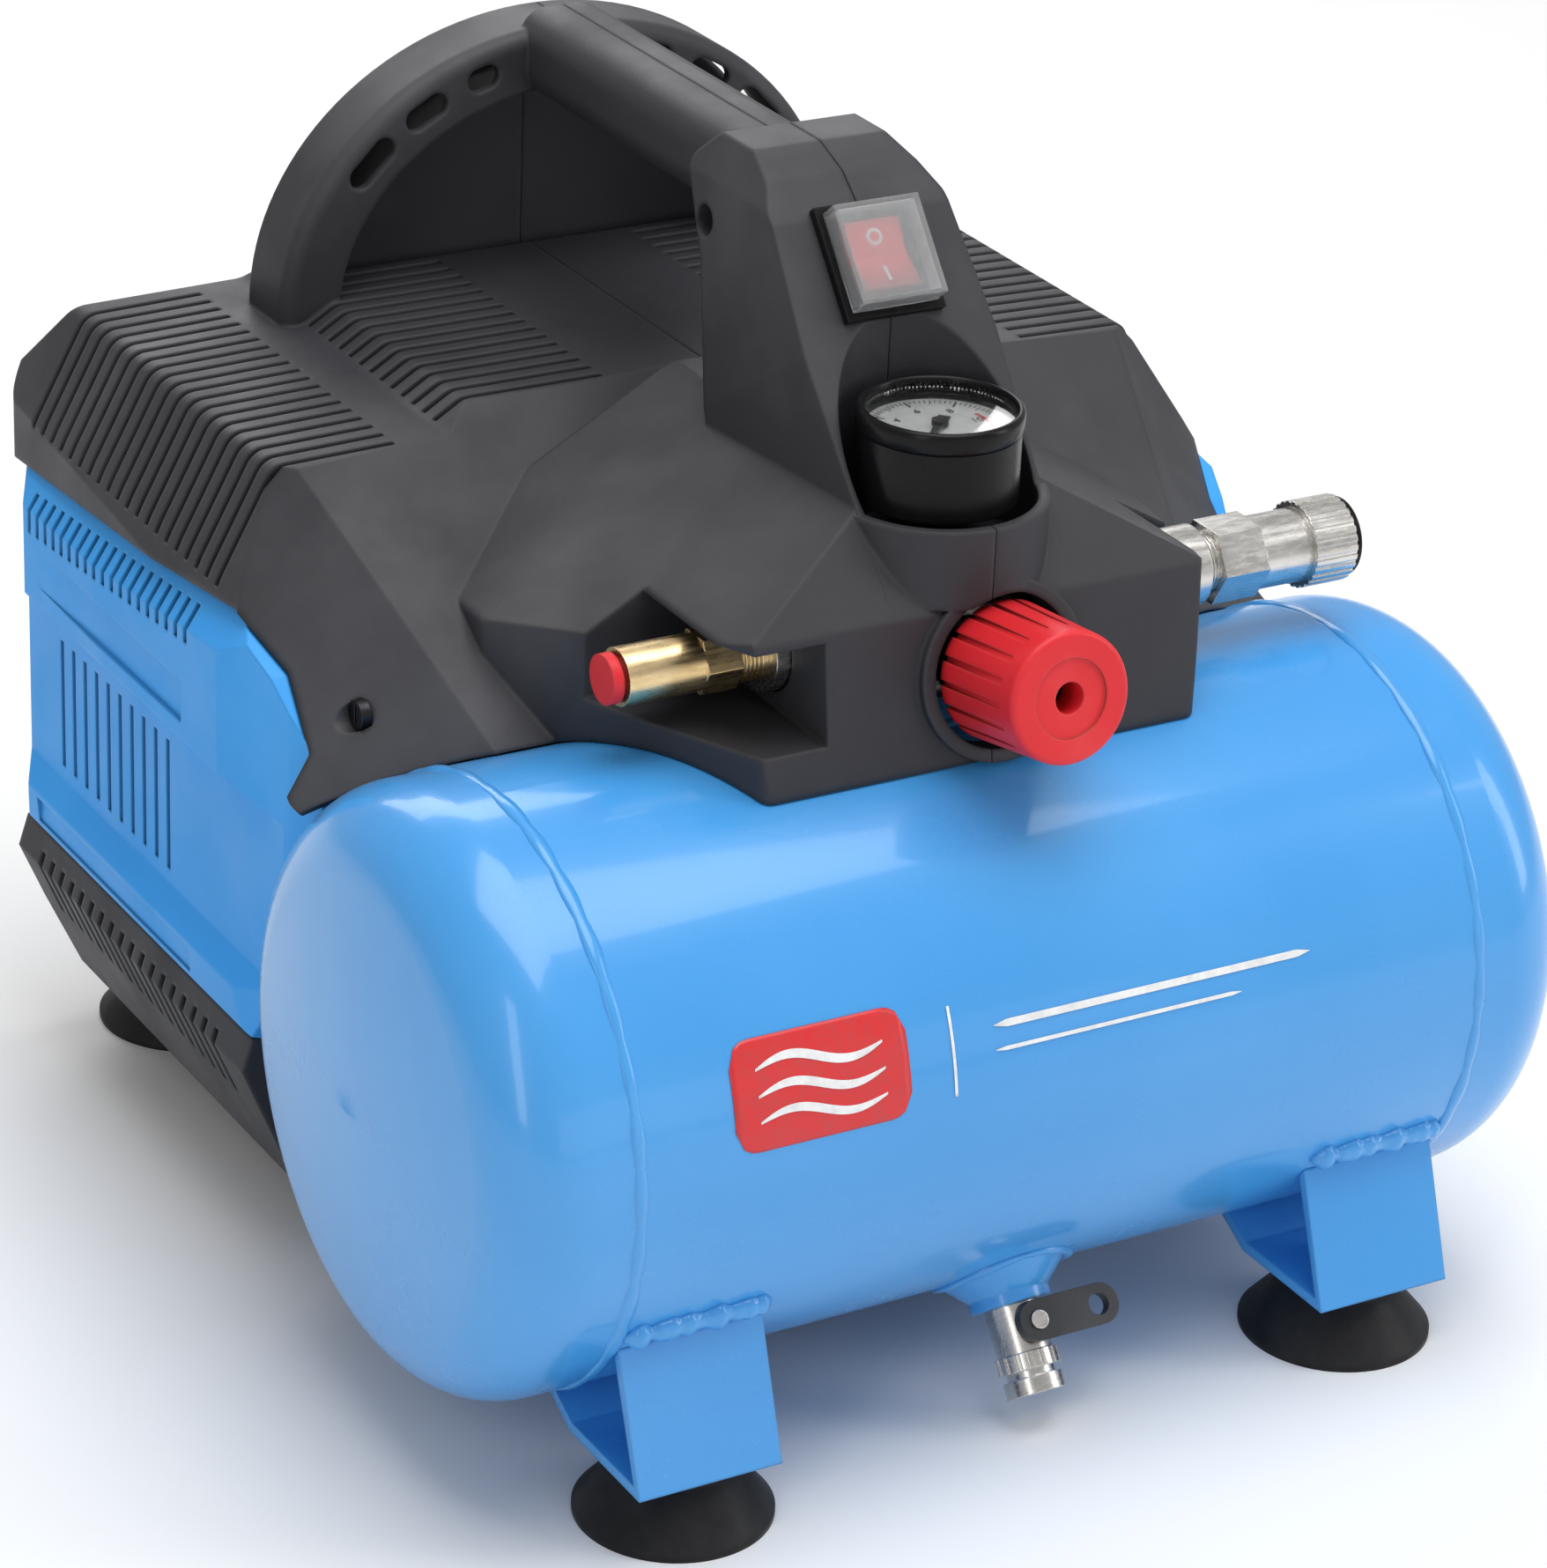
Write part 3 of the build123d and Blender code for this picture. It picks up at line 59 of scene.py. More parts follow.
# ---- materials ------------------------------------------------------------------------------
class Nodes:
    """Small helper that builds one material's node tree."""

    def __init__(self, name):
        self.material = bpy.data.materials.new(name)
        self.material.use_nodes = True
        self.tree = self.material.node_tree
        self.tree.nodes.clear()
        self.shader = self.add("ShaderNodeBsdfPrincipled")
        output = self.add("ShaderNodeOutputMaterial")
        self.link(self.shader.outputs["BSDF"], output.inputs["Surface"])
        self.place = self.add("ShaderNodeTexCoord").outputs["Object"]

    def add(self, kind, **values):
        node = self.tree.nodes.new(kind)
        for key, value in values.items():
            setattr(node, key, value)
        return node

    def link(self, source, target):
        self.tree.links.new(source, target)

    def noise(self, scale, detail=3.0, rough=0.55, stretch=None):
        """Noise in metres: scale is cycles per metre, stretch squeezes it along each axis."""
        node = self.add("ShaderNodeTexNoise")
        node.inputs["Scale"].default_value = scale
        node.inputs["Detail"].default_value = detail
        node.inputs["Roughness"].default_value = rough
        place = self.place
        if stretch:
            mapping = self.add("ShaderNodeMapping")
            mapping.inputs["Scale"].default_value = stretch
            self.link(place, mapping.inputs["Vector"])
            place = mapping.outputs["Vector"]
        self.link(place, node.inputs["Vector"])
        return node.outputs["Fac"]

    def ramp(self, factor, stops):
        """Colour ramp through (position, colour) stops."""
        node = self.add("ShaderNodeValToRGB")
        elements = node.color_ramp.elements
        while len(elements) < len(stops):
            elements.new(0.5)
        for element, (position, colour) in zip(elements, stops):
            element.position = position
            element.color = (*colour, 1.0)
        self.link(factor, node.inputs["Fac"])
        return node.outputs["Color"]

    def spread(self, factor, low, high, source=(0.35, 0.65)):
        """Map a factor to the range low to high."""
        node = self.add("ShaderNodeMapRange")
        node.inputs["From Min"].default_value = source[0]
        node.inputs["From Max"].default_value = source[1]
        node.inputs["To Min"].default_value = low
        node.inputs["To Max"].default_value = high
        self.link(factor, node.inputs["Value"])
        return node.outputs["Result"]

    def bump(self, height, strength, distance, normal=None):
        """Bump on top of an earlier normal."""
        node = self.add("ShaderNodeBump")
        node.inputs["Strength"].default_value = strength
        node.inputs["Distance"].default_value = distance
        self.link(height, node.inputs["Height"])
        if normal is not None:
            self.link(normal, node.inputs["Normal"])
        return node.outputs["Normal"]

    def soft_edges(self, radius):
        """Normal that rounds hard edges by the given radius."""
        node = self.add("ShaderNodeBevel", samples=6)
        node.inputs["Radius"].default_value = radius
        return node.outputs["Normal"]

    def edge_mask(self, radius):
        """1 on worn convex edges, 0 elsewhere, from the difference of rounded and true normals."""
        geometry = self.add("ShaderNodeNewGeometry").outputs["Normal"]
        dot = self.add("ShaderNodeVectorMath", operation="DOT_PRODUCT")
        self.link(self.soft_edges(radius), dot.inputs[0])
        self.link(geometry, dot.inputs[1])
        return self.spread(dot.outputs["Value"], 1.0, 0.0, source=(0.90, 0.995))

    def crevice_shade(self, distance):
        """Painted shade mask from ambient occlusion: 1 deep inside narrow slots and gaps, 0 on open
        surfaces.
        """
        node = self.add("ShaderNodeAmbientOcclusion", samples=4)
        node.inputs["Distance"].default_value = distance
        return self.spread(node.outputs["AO"], 1.0, 0.0, source=(0.22, 0.62))

    def mix(self, factor, first, second):
        """Blend two colours; either may be a socket or a plain colour."""
        node = self.add("ShaderNodeMix", data_type="RGBA")
        self.link(factor, node.inputs["Factor"])
        for key, value in (("A", first), ("B", second)):
            socket = [s for s in node.inputs if s.name == key and s.type == "RGBA"][0]
            if isinstance(value, tuple):
                socket.default_value = (*value, 1.0)
            else:
                self.link(value, socket)
        return [s for s in node.outputs if s.type == "RGBA"][0]

    def scale_value(self, factor, amount):
        """Multiply a factor by a plain number."""
        node = self.add("ShaderNodeMath", operation="MULTIPLY")
        node.inputs[1].default_value = amount
        self.link(factor, node.inputs[0])
        return node.outputs[0]

    def finish(self, colour, rough, normal, **constants):
        """Connect colour, roughness and normal, and set the plain shader values."""
        self.link(colour, self.shader.inputs["Base Color"])
        self.link(rough, self.shader.inputs["Roughness"])
        self.link(normal, self.shader.inputs["Normal"])
        for key, value in constants.items():
            self.shader.inputs[key.replace("_", " ")].default_value = value
        return self.material


def painted(name, colour, dark, light, edge=0.0006):
    """Sprayed gloss paint on steel: faint mottling, orange peel, thin paint on edges."""
    n = Nodes(name)
    mottle = n.noise(9.0, 4.0)
    base = n.ramp(mottle, [(0.3, dark), (0.5, colour), (0.72, light)])
    dust = n.noise(900.0, 4.0, 0.7)
    base = n.mix(n.scale_value(n.spread(dust, 0.0, 1.0, (0.58, 0.75)), 0.04), base, (0.55, 0.62, 0.70))
    base = n.mix(n.scale_value(n.edge_mask(edge), 0.30), base, light)
    rough = n.spread(n.noise(22.0, 5.0), 0.25, 0.29)
    normal = n.bump(n.noise(420.0, 2.0), 0.04, 0.0002, n.soft_edges(edge * 2.0))
    return n.finish(base, rough, normal, Coat_Weight=0.45, Coat_Roughness=0.08, IOR=1.45)


def moulded(name, colour, light, dark, grain=2600.0, rough=(0.48, 0.62), edge=0.0012, bump=0.22, shine=0.42):
    """Spark-eroded plastic: fine grain, slight flow mottling, polished edges, painted shade in slots and
    gaps.
    """
    n = Nodes(name)
    flow = n.noise(7.0, 5.0, 0.6)
    base = n.ramp(flow, [(0.28, dark), (0.5, colour), (0.75, light)])
    scuff = n.noise(60.0, 8.0, 0.75, stretch=(1.0, 3.0, 0.6))
    base = n.mix(n.scale_value(n.spread(scuff, 0.0, 1.0, (0.60, 0.80)), 0.18), base, light)
    base = n.mix(n.scale_value(n.edge_mask(edge), 0.35), base, light)
    # Painted shade: the colour darkens towards near-black deep inside slots and gaps.
    base = n.mix(n.scale_value(n.crevice_shade(0.006), 0.9), base, tuple(c * 0.15 for c in dark))
    roughness = n.spread(n.noise(35.0, 6.0), *rough)
    normal = n.bump(n.noise(grain, 2.0, 0.6), bump, 0.0002, n.soft_edges(edge * 1.4))
    return n.finish(base, roughness, normal, IOR=1.45, Specular_IOR_Level=shine)


def metal(name, colour, dark, rough=(0.18, 0.32), stretch=(1.0, 1.0, 1.0), edge=0.0003, bump=0.10,
          scale=900.0):
    """Bare or plated metal: fine turning marks, tarnish in patches, bright edges."""
    n = Nodes(name)
    tarnish = n.noise(70.0, 6.0, 0.65)
    base = n.ramp(tarnish, [(0.30, dark), (0.62, colour)])
    bright = tuple(min(1.0, c * 1.15) for c in colour)
    base = n.mix(n.scale_value(n.edge_mask(edge), 0.5), base, bright)
    marks = n.noise(scale, 3.0, 0.6, stretch=stretch)
    roughness = n.spread(marks, *rough)
    normal = n.bump(marks, bump, 0.00012, n.soft_edges(edge * 1.5))
    return n.finish(base, roughness, normal, Metallic=1.0)


def rubber(name, colour=(0.009, 0.009, 0.010)):
    """Moulded rubber with a dusty bloom."""
    n = Nodes(name)
    bloom = n.noise(45.0, 8.0, 0.7)
    light = tuple(c * 2.0 + 0.006 for c in colour)
    base = n.ramp(bloom, [(0.38, colour), (0.75, light)])
    rough = n.spread(n.noise(80.0, 4.0), 0.42, 0.62)
    normal = n.bump(n.noise(1500.0, 3.0), 0.18, 0.0003, n.soft_edges(0.0010))
    return n.finish(base, rough, normal, IOR=1.45, Specular_IOR_Level=0.25)


def clear(name, tint, rough=(0.03, 0.09), transmission=0.94):
    """Clear moulded plastic with fine scratches."""
    n = Nodes(name)
    base = n.ramp(n.noise(50.0, 4.0), [(0.3, tint), (0.7, (0.98, 0.99, 1.0))])
    roughness = n.spread(n.noise(600.0, 6.0, 0.7, stretch=(1.0, 0.15, 1.0)), *rough)
    normal = n.bump(n.noise(40.0, 2.0), 0.04, 0.0004, n.soft_edges(0.0004))
    return n.finish(base, roughness, normal, Transmission_Weight=transmission, IOR=1.46)


def printed(name, colour, rough=(0.35, 0.5)):
    """Thin printed film or ink."""
    n = Nodes(name)
    worn = tuple(min(1.0, c * 0.82 + 0.02) for c in colour)
    base = n.ramp(n.noise(260.0, 6.0, 0.7), [(0.35, worn), (0.6, colour)])
    roughness = n.spread(n.noise(90.0, 4.0), *rough)
    normal = n.bump(n.noise(900.0, 2.0), 0.05, 0.0001)
    return n.finish(base, roughness, normal, Coat_Weight=0.3, Coat_Roughness=0.2)


BLUE = (0.060, 0.340, 0.780)
BLUE_DARK = (0.055, 0.322, 0.755)
BLUE_LIGHT = (0.074, 0.365, 0.810)
CHARCOAL = (0.036, 0.036, 0.042)
RED = (0.74, 0.024, 0.034)
TURNED_ALONG_X = (0.2, 1.0, 1.0)         # texture stretch of marks on parts turned along X

materials = {
    "tank_blue": painted("tank_paint", BLUE, BLUE_DARK, BLUE_LIGHT),
    "deck_black": painted("deck_paint", (0.022, 0.022, 0.024), (0.014, 0.014, 0.016),
                          (0.05, 0.05, 0.052)),
    "nickel": metal("nickel_plate", (0.76, 0.74, 0.71), (0.62, 0.60, 0.57), (0.20, 0.32),
                    TURNED_ALONG_X, bump=0.04),
    "lever_grey": moulded("lever_coat", (0.045, 0.045, 0.048), (0.12, 0.12, 0.12), (0.03, 0.03, 0.03),
                          1800.0, (0.34, 0.5), 0.0005),
    "zinc_steel": metal("zinc_plate", (0.66, 0.67, 0.70), (0.42, 0.43, 0.46), (0.24, 0.42)),
    "screw_black": metal("blackened_steel", (0.05, 0.05, 0.055), (0.025, 0.025, 0.028), (0.34, 0.5)),
    "foot_rubber": rubber("foot_rubber"),
    "stator_steel": metal("laminations", (0.34, 0.34, 0.36), (0.20, 0.19, 0.19), (0.35, 0.55),
                          (12.0, 0.2, 0.2)),
    "cast_aluminium": metal("cast_aluminium", (0.62, 0.63, 0.65), (0.44, 0.44, 0.46), (0.42, 0.62),
                            bump=0.35, scale=420.0, edge=0.0008),
    "cast_iron": metal("cast_iron", (0.22, 0.22, 0.23), (0.12, 0.11, 0.11), (0.45, 0.65), bump=0.35,
                       scale=380.0),
    "seal_grey": moulded("ptfe_seal", (0.16, 0.15, 0.14), (0.24, 0.23, 0.22), (0.10, 0.10, 0.09)),
    "fan_black": moulded("fan_nylon", (0.022, 0.022, 0.024), (0.07, 0.07, 0.07), (0.014, 0.014, 0.015),
                         900.0, (0.3, 0.45)),
    "capacitor_can": metal("capacitor_can", (0.72, 0.73, 0.75), (0.56, 0.57, 0.58), (0.2, 0.34),
                           (0.1, 1.0, 1.0)),
    "copper": metal("copper_pipe", (0.78, 0.36, 0.20), (0.45, 0.18, 0.10), (0.2, 0.4)),
    "brass": metal("turned_brass", (0.90, 0.70, 0.40), (0.76, 0.54, 0.26), (0.24, 0.38),
                   (0.15, 1.0, 1.0)),
    "black_plastic": moulded("black_plastic", (0.007, 0.007, 0.008), (0.022, 0.022, 0.024),
                             (0.005, 0.005, 0.005), 1900.0, (0.20, 0.30), 0.0006, 0.05, 0.20),
    "red_plastic": moulded("red_plastic", RED, (0.90, 0.12, 0.11), (0.64, 0.016, 0.020), 1600.0,
                           (0.34, 0.48), 0.0008, 0.10),
    "dial_white": printed("dial_enamel", (0.86, 0.86, 0.84), (0.3, 0.42)),
    "needle_black": printed("needle_black", (0.012, 0.012, 0.013)),
    "clear_plastic": clear("clear_plastic", (0.97, 0.98, 0.99), transmission=1.0),
    "housing_charcoal": moulded("housing_plastic", CHARCOAL, (0.080, 0.080, 0.088),
                                (0.033, 0.033, 0.039), 2200.0, (0.46, 0.60), 0.0014, 0.26),
    "cover_blue": moulded("cover_plastic", (0.040, 0.350, 0.860), (0.07, 0.42, 0.93),
                          (0.036, 0.325, 0.81), 2000.0, (0.40, 0.54), 0.0010, 0.12, 0.30),
}
weld_paint = painted("weld_paint", BLUE, BLUE_DARK, BLUE_LIGHT, 0.0004)
ink_black = printed("ink_black", (0.010, 0.010, 0.011))
ink_white = printed("ink_white", (0.88, 0.89, 0.90))
label_red = printed("label_red", (0.70, 0.016, 0.020))

# The switch cover is cloudier than the gauge's lens, which shares its slot.
own_materials = {"switch_cover": clear("switch_cover_plastic", (0.92, 0.94, 0.95), (0.14, 0.26), 0.84)}

slot_of = {entry["node"]: entry["material_slot"] for entry in frame["record"]["subparts"]}
for name, node in frame["nodes"].items():
    node.data.materials.clear()
    node.data.materials.append(own_materials.get(name, materials[slot_of[name]]))


# ---- mesh helpers ---------------------------------------------------------------------------
# Faces of a box whose first four points are its bottom and whose last four are its top.
BOX_FACES = [(3, 2, 1, 0), (4, 5, 6, 7), (0, 1, 5, 4), (1, 2, 6, 5), (2, 3, 7, 6), (3, 0, 4, 7)]


def piece(name, verts, faces, material, body="chassis", slot=None, smooth=True):
    """Mesh object from plain lists, riding on a body."""
    mesh = bpy.data.meshes.new(name)
    mesh.from_pydata([tuple(v) for v in verts], [], faces)
    mesh.update()
    work = bmesh.new()
    work.from_mesh(mesh)
    bmesh.ops.recalc_face_normals(work, faces=work.faces)
    work.to_mesh(mesh)
    work.free()
    for polygon in mesh.polygons:
        polygon.use_smooth = smooth
    mesh.materials.append(material)
    item = bpy.data.objects.new(name, mesh)
    bpy.context.scene.collection.objects.link(item)
    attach(item, body)
    return item


def loft(rings, closed=False, capped=True):
    """Skin through rings of equal length; the rings close on themselves."""
    count = len(rings[0])
    verts = [p for ring in rings for p in ring]
    faces = []
    last = len(rings) if closed else len(rings) - 1
    for i in range(last):
        a = i * count
        b = ((i + 1) % len(rings)) * count
        for j in range(count):
            k = (j + 1) % count
            faces.append((a + j, a + k, b + k, b + j))
    if capped and not closed:
        faces.append(tuple(reversed(range(count))))
        faces.append(tuple(range((len(rings) - 1) * count, len(rings) * count)))
    return verts, faces


def join_lists(parts):
    """Merge (verts, faces) lists into one pair."""
    verts = []
    faces = []
    for part_verts, part_faces in parts:
        offset = len(verts)
        verts.extend(part_verts)
        faces.extend(tuple(i + offset for i in face) for face in part_faces)
    return verts, faces


def ripple(i, count):
    """Height factor of a hand-laid bead: overlapping scales with a slow wander."""
    phase = i / count
    scales = abs(math.sin(phase * count * 0.45))
    return 0.80 + 0.30 * scales + 0.12 * math.sin(phase * 23.0) + 0.06 * math.sin(phase * 61.0 + 1.0)


def bead(points, ups, width, height, closed=False, sides=8):
    """Weld bead along points; ups are the outward directions at each point."""
    rings = []
    count = len(points)
    for i, (point, up) in enumerate(zip(points, ups)):
        before = points[i - 1] if i or closed else points[i]
        after = points[(i + 1) % count] if i < count - 1 or closed else points[i]
        along = (after - before).normalized()
        side = along.cross(up).normalized()
        swell = ripple(i, count)
        fade = 1.0 if closed else min(1.0, 0.35 + i / 4.0, 0.35 + (count - 1 - i) / 4.0)
        ring = []
        for j in range(sides):
            angle = math.tau * j / sides
            ring.append(point + side * math.cos(angle) * width * swell * fade
                        + up * math.sin(angle) * height * swell * fade)
        rings.append(ring)
    return loft(rings, closed=closed)


def lathe(profile, segments, frame_matrix):
    """Closed ring solid from (radius, height) points turned round the frame's local Z."""
    rings = []
    for i in range(segments):
        angle = math.tau * i / segments
        turn = Vector((math.cos(angle), math.sin(angle), 0.0))
        rings.append([frame_matrix @ (turn * r + Vector((0.0, 0.0, h))) for r, h in profile])
    return loft(rings, closed=True)


def axes(origin, z_dir, x_dir):
    """Matrix whose local Z and X point along the given directions."""
    z = Vector(z_dir).normalized()
    x = Vector(x_dir)
    x = (x - z * x.dot(z)).normalized()
    y = z.cross(x)
    rotation = Matrix((x, y, z)).transposed().to_4x4()
    return Matrix.Translation(Vector(origin)) @ rotation


def tank_point(x, angle, lift=0.0):
    """Point on the tank at an angle from the top towards the front, in radians."""
    r = TANK_R + lift
    return Vector((x, TANK_AT[0] - r * math.sin(angle), TANK_AT[1] + r * math.cos(angle)))


def tank_normal(angle):
    return Vector((0.0, -math.sin(angle), math.cos(angle)))


# ---- welds ----------------------------------------------------------------------------------
def seam_welds():
    """Low ground bead round each head seam."""
    parts = []
    for side in (-1, 1):
        count = 220
        angles = [math.tau * i / count for i in range(count)]
        points = [tank_point(side * SEAM_X, a, -0.0004) for a in angles]
        ups = [tank_normal(a) for a in angles]
        parts.append(bead(points, ups, 0.0021, 0.0011, closed=True))
    piece("seam_welds", *join_lists(parts), weld_paint, slot="tank_blue")


def bracket_welds():
    """Beads where the front and rear flanges of both brackets meet the tank."""
    parts = []
    low_front = math.acos((0.0608 - TANK_AT[1]) / TANK_R)
    for side in (-1, 1):
        for angle in (low_front, -2.62):
            count = 40
            xs = [side * BRACKET_X + (i / (count - 1) - 0.5) * 0.0415 for i in range(count)]
            points = [tank_point(x, angle, 0.0003) for x in xs]
            parts.append(bead(points, [tank_normal(angle)] * count, 0.0036, 0.0030))
    piece("bracket_welds", *join_lists(parts), weld_paint, slot="tank_blue")


def ring_weld_on_tank(centre_x, angle, radius, width, height):
    """Closed bead on the tank round a socket."""
    count = 48
    points = []
    ups = []
    for i in range(count):
        t = math.tau * i / count
        a = angle + radius * math.sin(t) / TANK_R
        points.append(tank_point(centre_x + radius * math.cos(t), a, 0.0002))
        ups.append(tank_normal(a))
    return bead(points, ups, width, height, closed=True)


def socket_welds():
    """Beads round the drain boss and the two sockets on top."""
    parts = [ring_weld_on_tank(DRAIN_X, math.pi - DRAIN_LEAN, 0.0178, 0.0016, 0.0012),
             ring_weld_on_tank(0.0, 0.0, 0.0106, 0.0014, 0.0012),
             ring_weld_on_tank(-0.030, -math.asin(0.030 / TANK_R), 0.0112, 0.0014, 0.0012)]
    piece("socket_welds", *join_lists(parts), weld_paint, slot="tank_blue")


seam_welds()
bracket_welds()
socket_welds()


# ---- decals ---------------------------------------------------------------------------------
def tank_patch(outline, lift=0.00012, steps=24):
    """Thin film on the tank's front from an outline function: x and height for u, v in 0 to 1."""
    verts = []
    faces = []
    for layer in (lift, lift + 0.00012):
        for i in range(steps + 1):
            for j in range(steps + 1):
                x, z = outline(i / steps, j / steps)
                verts.append(tank_point(x, math.acos((z - TANK_AT[1]) / TANK_R), layer))
    size = (steps + 1) ** 2

    def index(layer, i, j):
        return layer * size + i * (steps + 1) + j

    for i in range(steps):
        for j in range(steps):
            for layer in (0, 1):
                faces.append((index(layer, i, j), index(layer, i + 1, j),
                              index(layer, i + 1, j + 1), index(layer, i, j + 1)))
    for i in range(steps):
        for j in (0, steps):
            faces.append((index(0, i, j), index(0, i + 1, j), index(1, i + 1, j), index(1, i, j)))
            faces.append((index(0, j, i), index(0, j, i + 1), index(1, j, i + 1), index(1, j, i)))
    return verts, faces


def rounded_bar(x0, x1, z0, z1, corner):
    """Outline function of a bar with rounded ends."""
    def shape(u, v):
        x = x0 + (x1 - x0) * u
        inset = min(u, 1.0 - u) * (x1 - x0)
        half = (z1 - z0) / 2
        if inset < corner:
            half -= corner - math.sqrt(max(0.0, corner ** 2 - (corner - inset) ** 2))
        return x, (z0 + z1) / 2 + half * (2 * v - 1)
    return shape


def wave_band(x0, x1, z_mid, amplitude, width):
    """Outline function of a wavy band that thins towards its ends."""
    def shape(u, v):
        x = x0 + (x1 - x0) * u
        thickness = width * math.sin(math.pi * min(max(u, 0.02), 0.98)) ** 0.5
        return x, z_mid + amplitude * math.sin(math.tau * u) + thickness * (v - 0.5)
    return shape


def decals():
    """Generic markings: a red label with air waves, a thin divider and a plain double stripe."""
    label = tank_patch(rounded_bar(-0.099, -0.049, 0.110, 0.137, 0.006))
    piece("tank_label", *label, label_red, slot="red_plastic")
    waves = [tank_patch(wave_band(-0.092, -0.056, z, 0.0020, 0.0023), 0.00030)
             for z in (0.1172, 0.1235, 0.1298)]
    piece("tank_label_waves", *join_lists(waves), ink_white, slot="dial_white")
    divider = tank_patch(rounded_bar(-0.0366, -0.0358, 0.112, 0.134, 0.0003))
    stripes = [tank_patch(rounded_bar(-0.024, 0.072, 0.1262, 0.1280, 0.0008)),
               tank_patch(rounded_bar(-0.024, 0.050, 0.1206, 0.1216, 0.0004))]
    piece("tank_stripes", *join_lists([divider] + stripes), ink_white, slot="dial_white")


decals()


# ---- gauge ----------------------------------------------------------------------------------
def flat_box(centre, along, length, width, low, high):
    """Upright plate on the dial, given its direction in the XY plane."""
    along = Vector((along[0], along[1], 0.0)).normalized()
    across = Vector((-along.y, along.x, 0.0))
    verts = []
    for z in (low, high):
        for a, b in ((-1, -1), (1, -1), (1, 1), (-1, 1)):
            corner = along * (a * length / 2) + across * (b * width / 2)
            verts.append(Vector((centre[0], centre[1], z)) + corner)
    return verts, BOX_FACES


def dial_marks():
    """Graduation ticks round the scale, printed on the dial."""
    low = DIAL_Z + 0.00002
    high = DIAL_Z + 0.00012
    parts = []
    for i in range(61):
        angle = math.radians(225.0 - 270.0 * i / 60.0)
        major = i % 10 == 0
        length = 0.0034 if major else (0.0024 if i % 5 == 0 else 0.0015)
        width = 0.00055 if major else 0.00028
        r = 0.0178 - length / 2
        centre = (GAUGE_AT[0] + r * math.cos(angle), GAUGE_AT[1] + r * math.sin(angle))
        parts.append(flat_box(centre, (math.cos(angle), math.sin(angle)), length, width, low, high))
    piece("dial_marks", *join_lists(parts), ink_black, slot="needle_black", smooth=False)


def dial_arc():
    """Red arc over the top quarter of the range."""
    verts = []
    faces = []
    steps = 40
    for i in range(steps + 1):
        angle = math.radians(-45.0 + 62.0 * i / steps)
        for r in (0.0130, 0.0139):
            for z in (DIAL_Z + 0.00002, DIAL_Z + 0.00011):
                verts.append((GAUGE_AT[0] + r * math.cos(angle), GAUGE_AT[1] + r * math.sin(angle), z))
    for i in range(steps):
        a = i * 4
        b = a + 4
        faces += [(a, b, b + 1, a + 1), (a + 2, a + 3, b + 3, b + 2), (a + 1, b + 1, b + 3, a + 3),
                  (a, a + 2, b + 2, b)]
    faces += [(0, 1, 3, 2), (steps * 4, steps * 4 + 2, steps * 4 + 3, steps * 4 + 1)]
    piece("dial_red_arc", verts, faces, label_red, slot="red_plastic", smooth=False)


def dial_numbers():
    """Plain numerals at the major graduations."""
    parts = []
    for i in range(7):
        angle = math.radians(225.0 - 45.0 * i)
        curve = bpy.data.curves.new(f"numeral_{i}", "FONT")
        curve.body = str(i * 2)
        curve.size = 0.0036
        curve.align_x = "CENTER"
        curve.align_y = "CENTER"
        curve.extrude = 0.00005
        item = bpy.data.objects.new(f"numeral_{i}", curve)
        mesh = bpy.data.meshes.new_from_object(item)
        centre = Vector((GAUGE_AT[0] + 0.0112 * math.cos(angle), GAUGE_AT[1] + 0.0112 * math.sin(angle),
                         DIAL_Z + 0.00007))
        verts = [centre + v.co for v in mesh.vertices]
        parts.append((verts, [tuple(p.vertices) for p in mesh.polygons]))
        bpy.data.objects.remove(item)
        bpy.data.meshes.remove(mesh)
        bpy.data.curves.remove(curve)
    piece("dial_numbers", *join_lists(parts), ink_black, slot="needle_black", smooth=False)


def gauge_bezel():
    """Rolled rim on the gauge case, with a small step where the lens sits."""
    at = axes((GAUGE_AT[0], GAUGE_AT[1], 0.0), (0, 0, 1), (1, 0, 0))
    profile = [(0.0194, 0.2588), (0.0194, 0.2604), (0.0199, 0.2611), (0.0207, 0.2612), (0.0214, 0.2606),
               (0.0216, 0.2595), (0.0215, 0.2560), (0.0211, 0.2552), (0.0209, 0.2560), (0.0208, 0.2588)]
    piece("gauge_bezel", *lathe(profile, 96, at), materials["black_plastic"], slot="black_plastic")


dial_marks()
dial_arc()
dial_numbers()
gauge_bezel()


# ---- switch ---------------------------------------------------------------------------------
def rocker_marks():
    """Ring on the rocker's upper face and line on its lower one, the off and on marks."""
    up = FACE_N.cross(Vector((1.0, 0.0, 0.0)))
    tilt = Matrix.Rotation(ROCKER_TILT, 3, "X")
    parts = []
    for sign in (1, -1):
        lean = Matrix.Rotation(sign * ROCKER_SLOPE, 3, "X")
        out = tilt @ lean @ FACE_N
        along = tilt @ lean @ up * sign
        centre = FACE_AT - FACE_N * MM + tilt @ (up * (sign * MARK_OFFSET) + FACE_N * MARK_HEIGHT)
        at = axes(centre, out, along)
        if sign < 0:
            bar = [Vector((a * 2.2 * MM, b * 0.35 * MM, h)) for h in MARK_LAYER
                   for a, b in ((-1, -1), (1, -1), (1, 1), (-1, 1))]
            parts.append(([at @ v for v in bar], BOX_FACES))
        else:
            low, high = MARK_LAYER
            ring = [(0.0022, low), (0.0022, high), (0.0015, high), (0.0015, low)]
            parts.append(lathe(ring, 40, at))
    piece("rocker_marks", *join_lists(parts), ink_white, body="rocker", slot="dial_white", smooth=False)


rocker_marks()


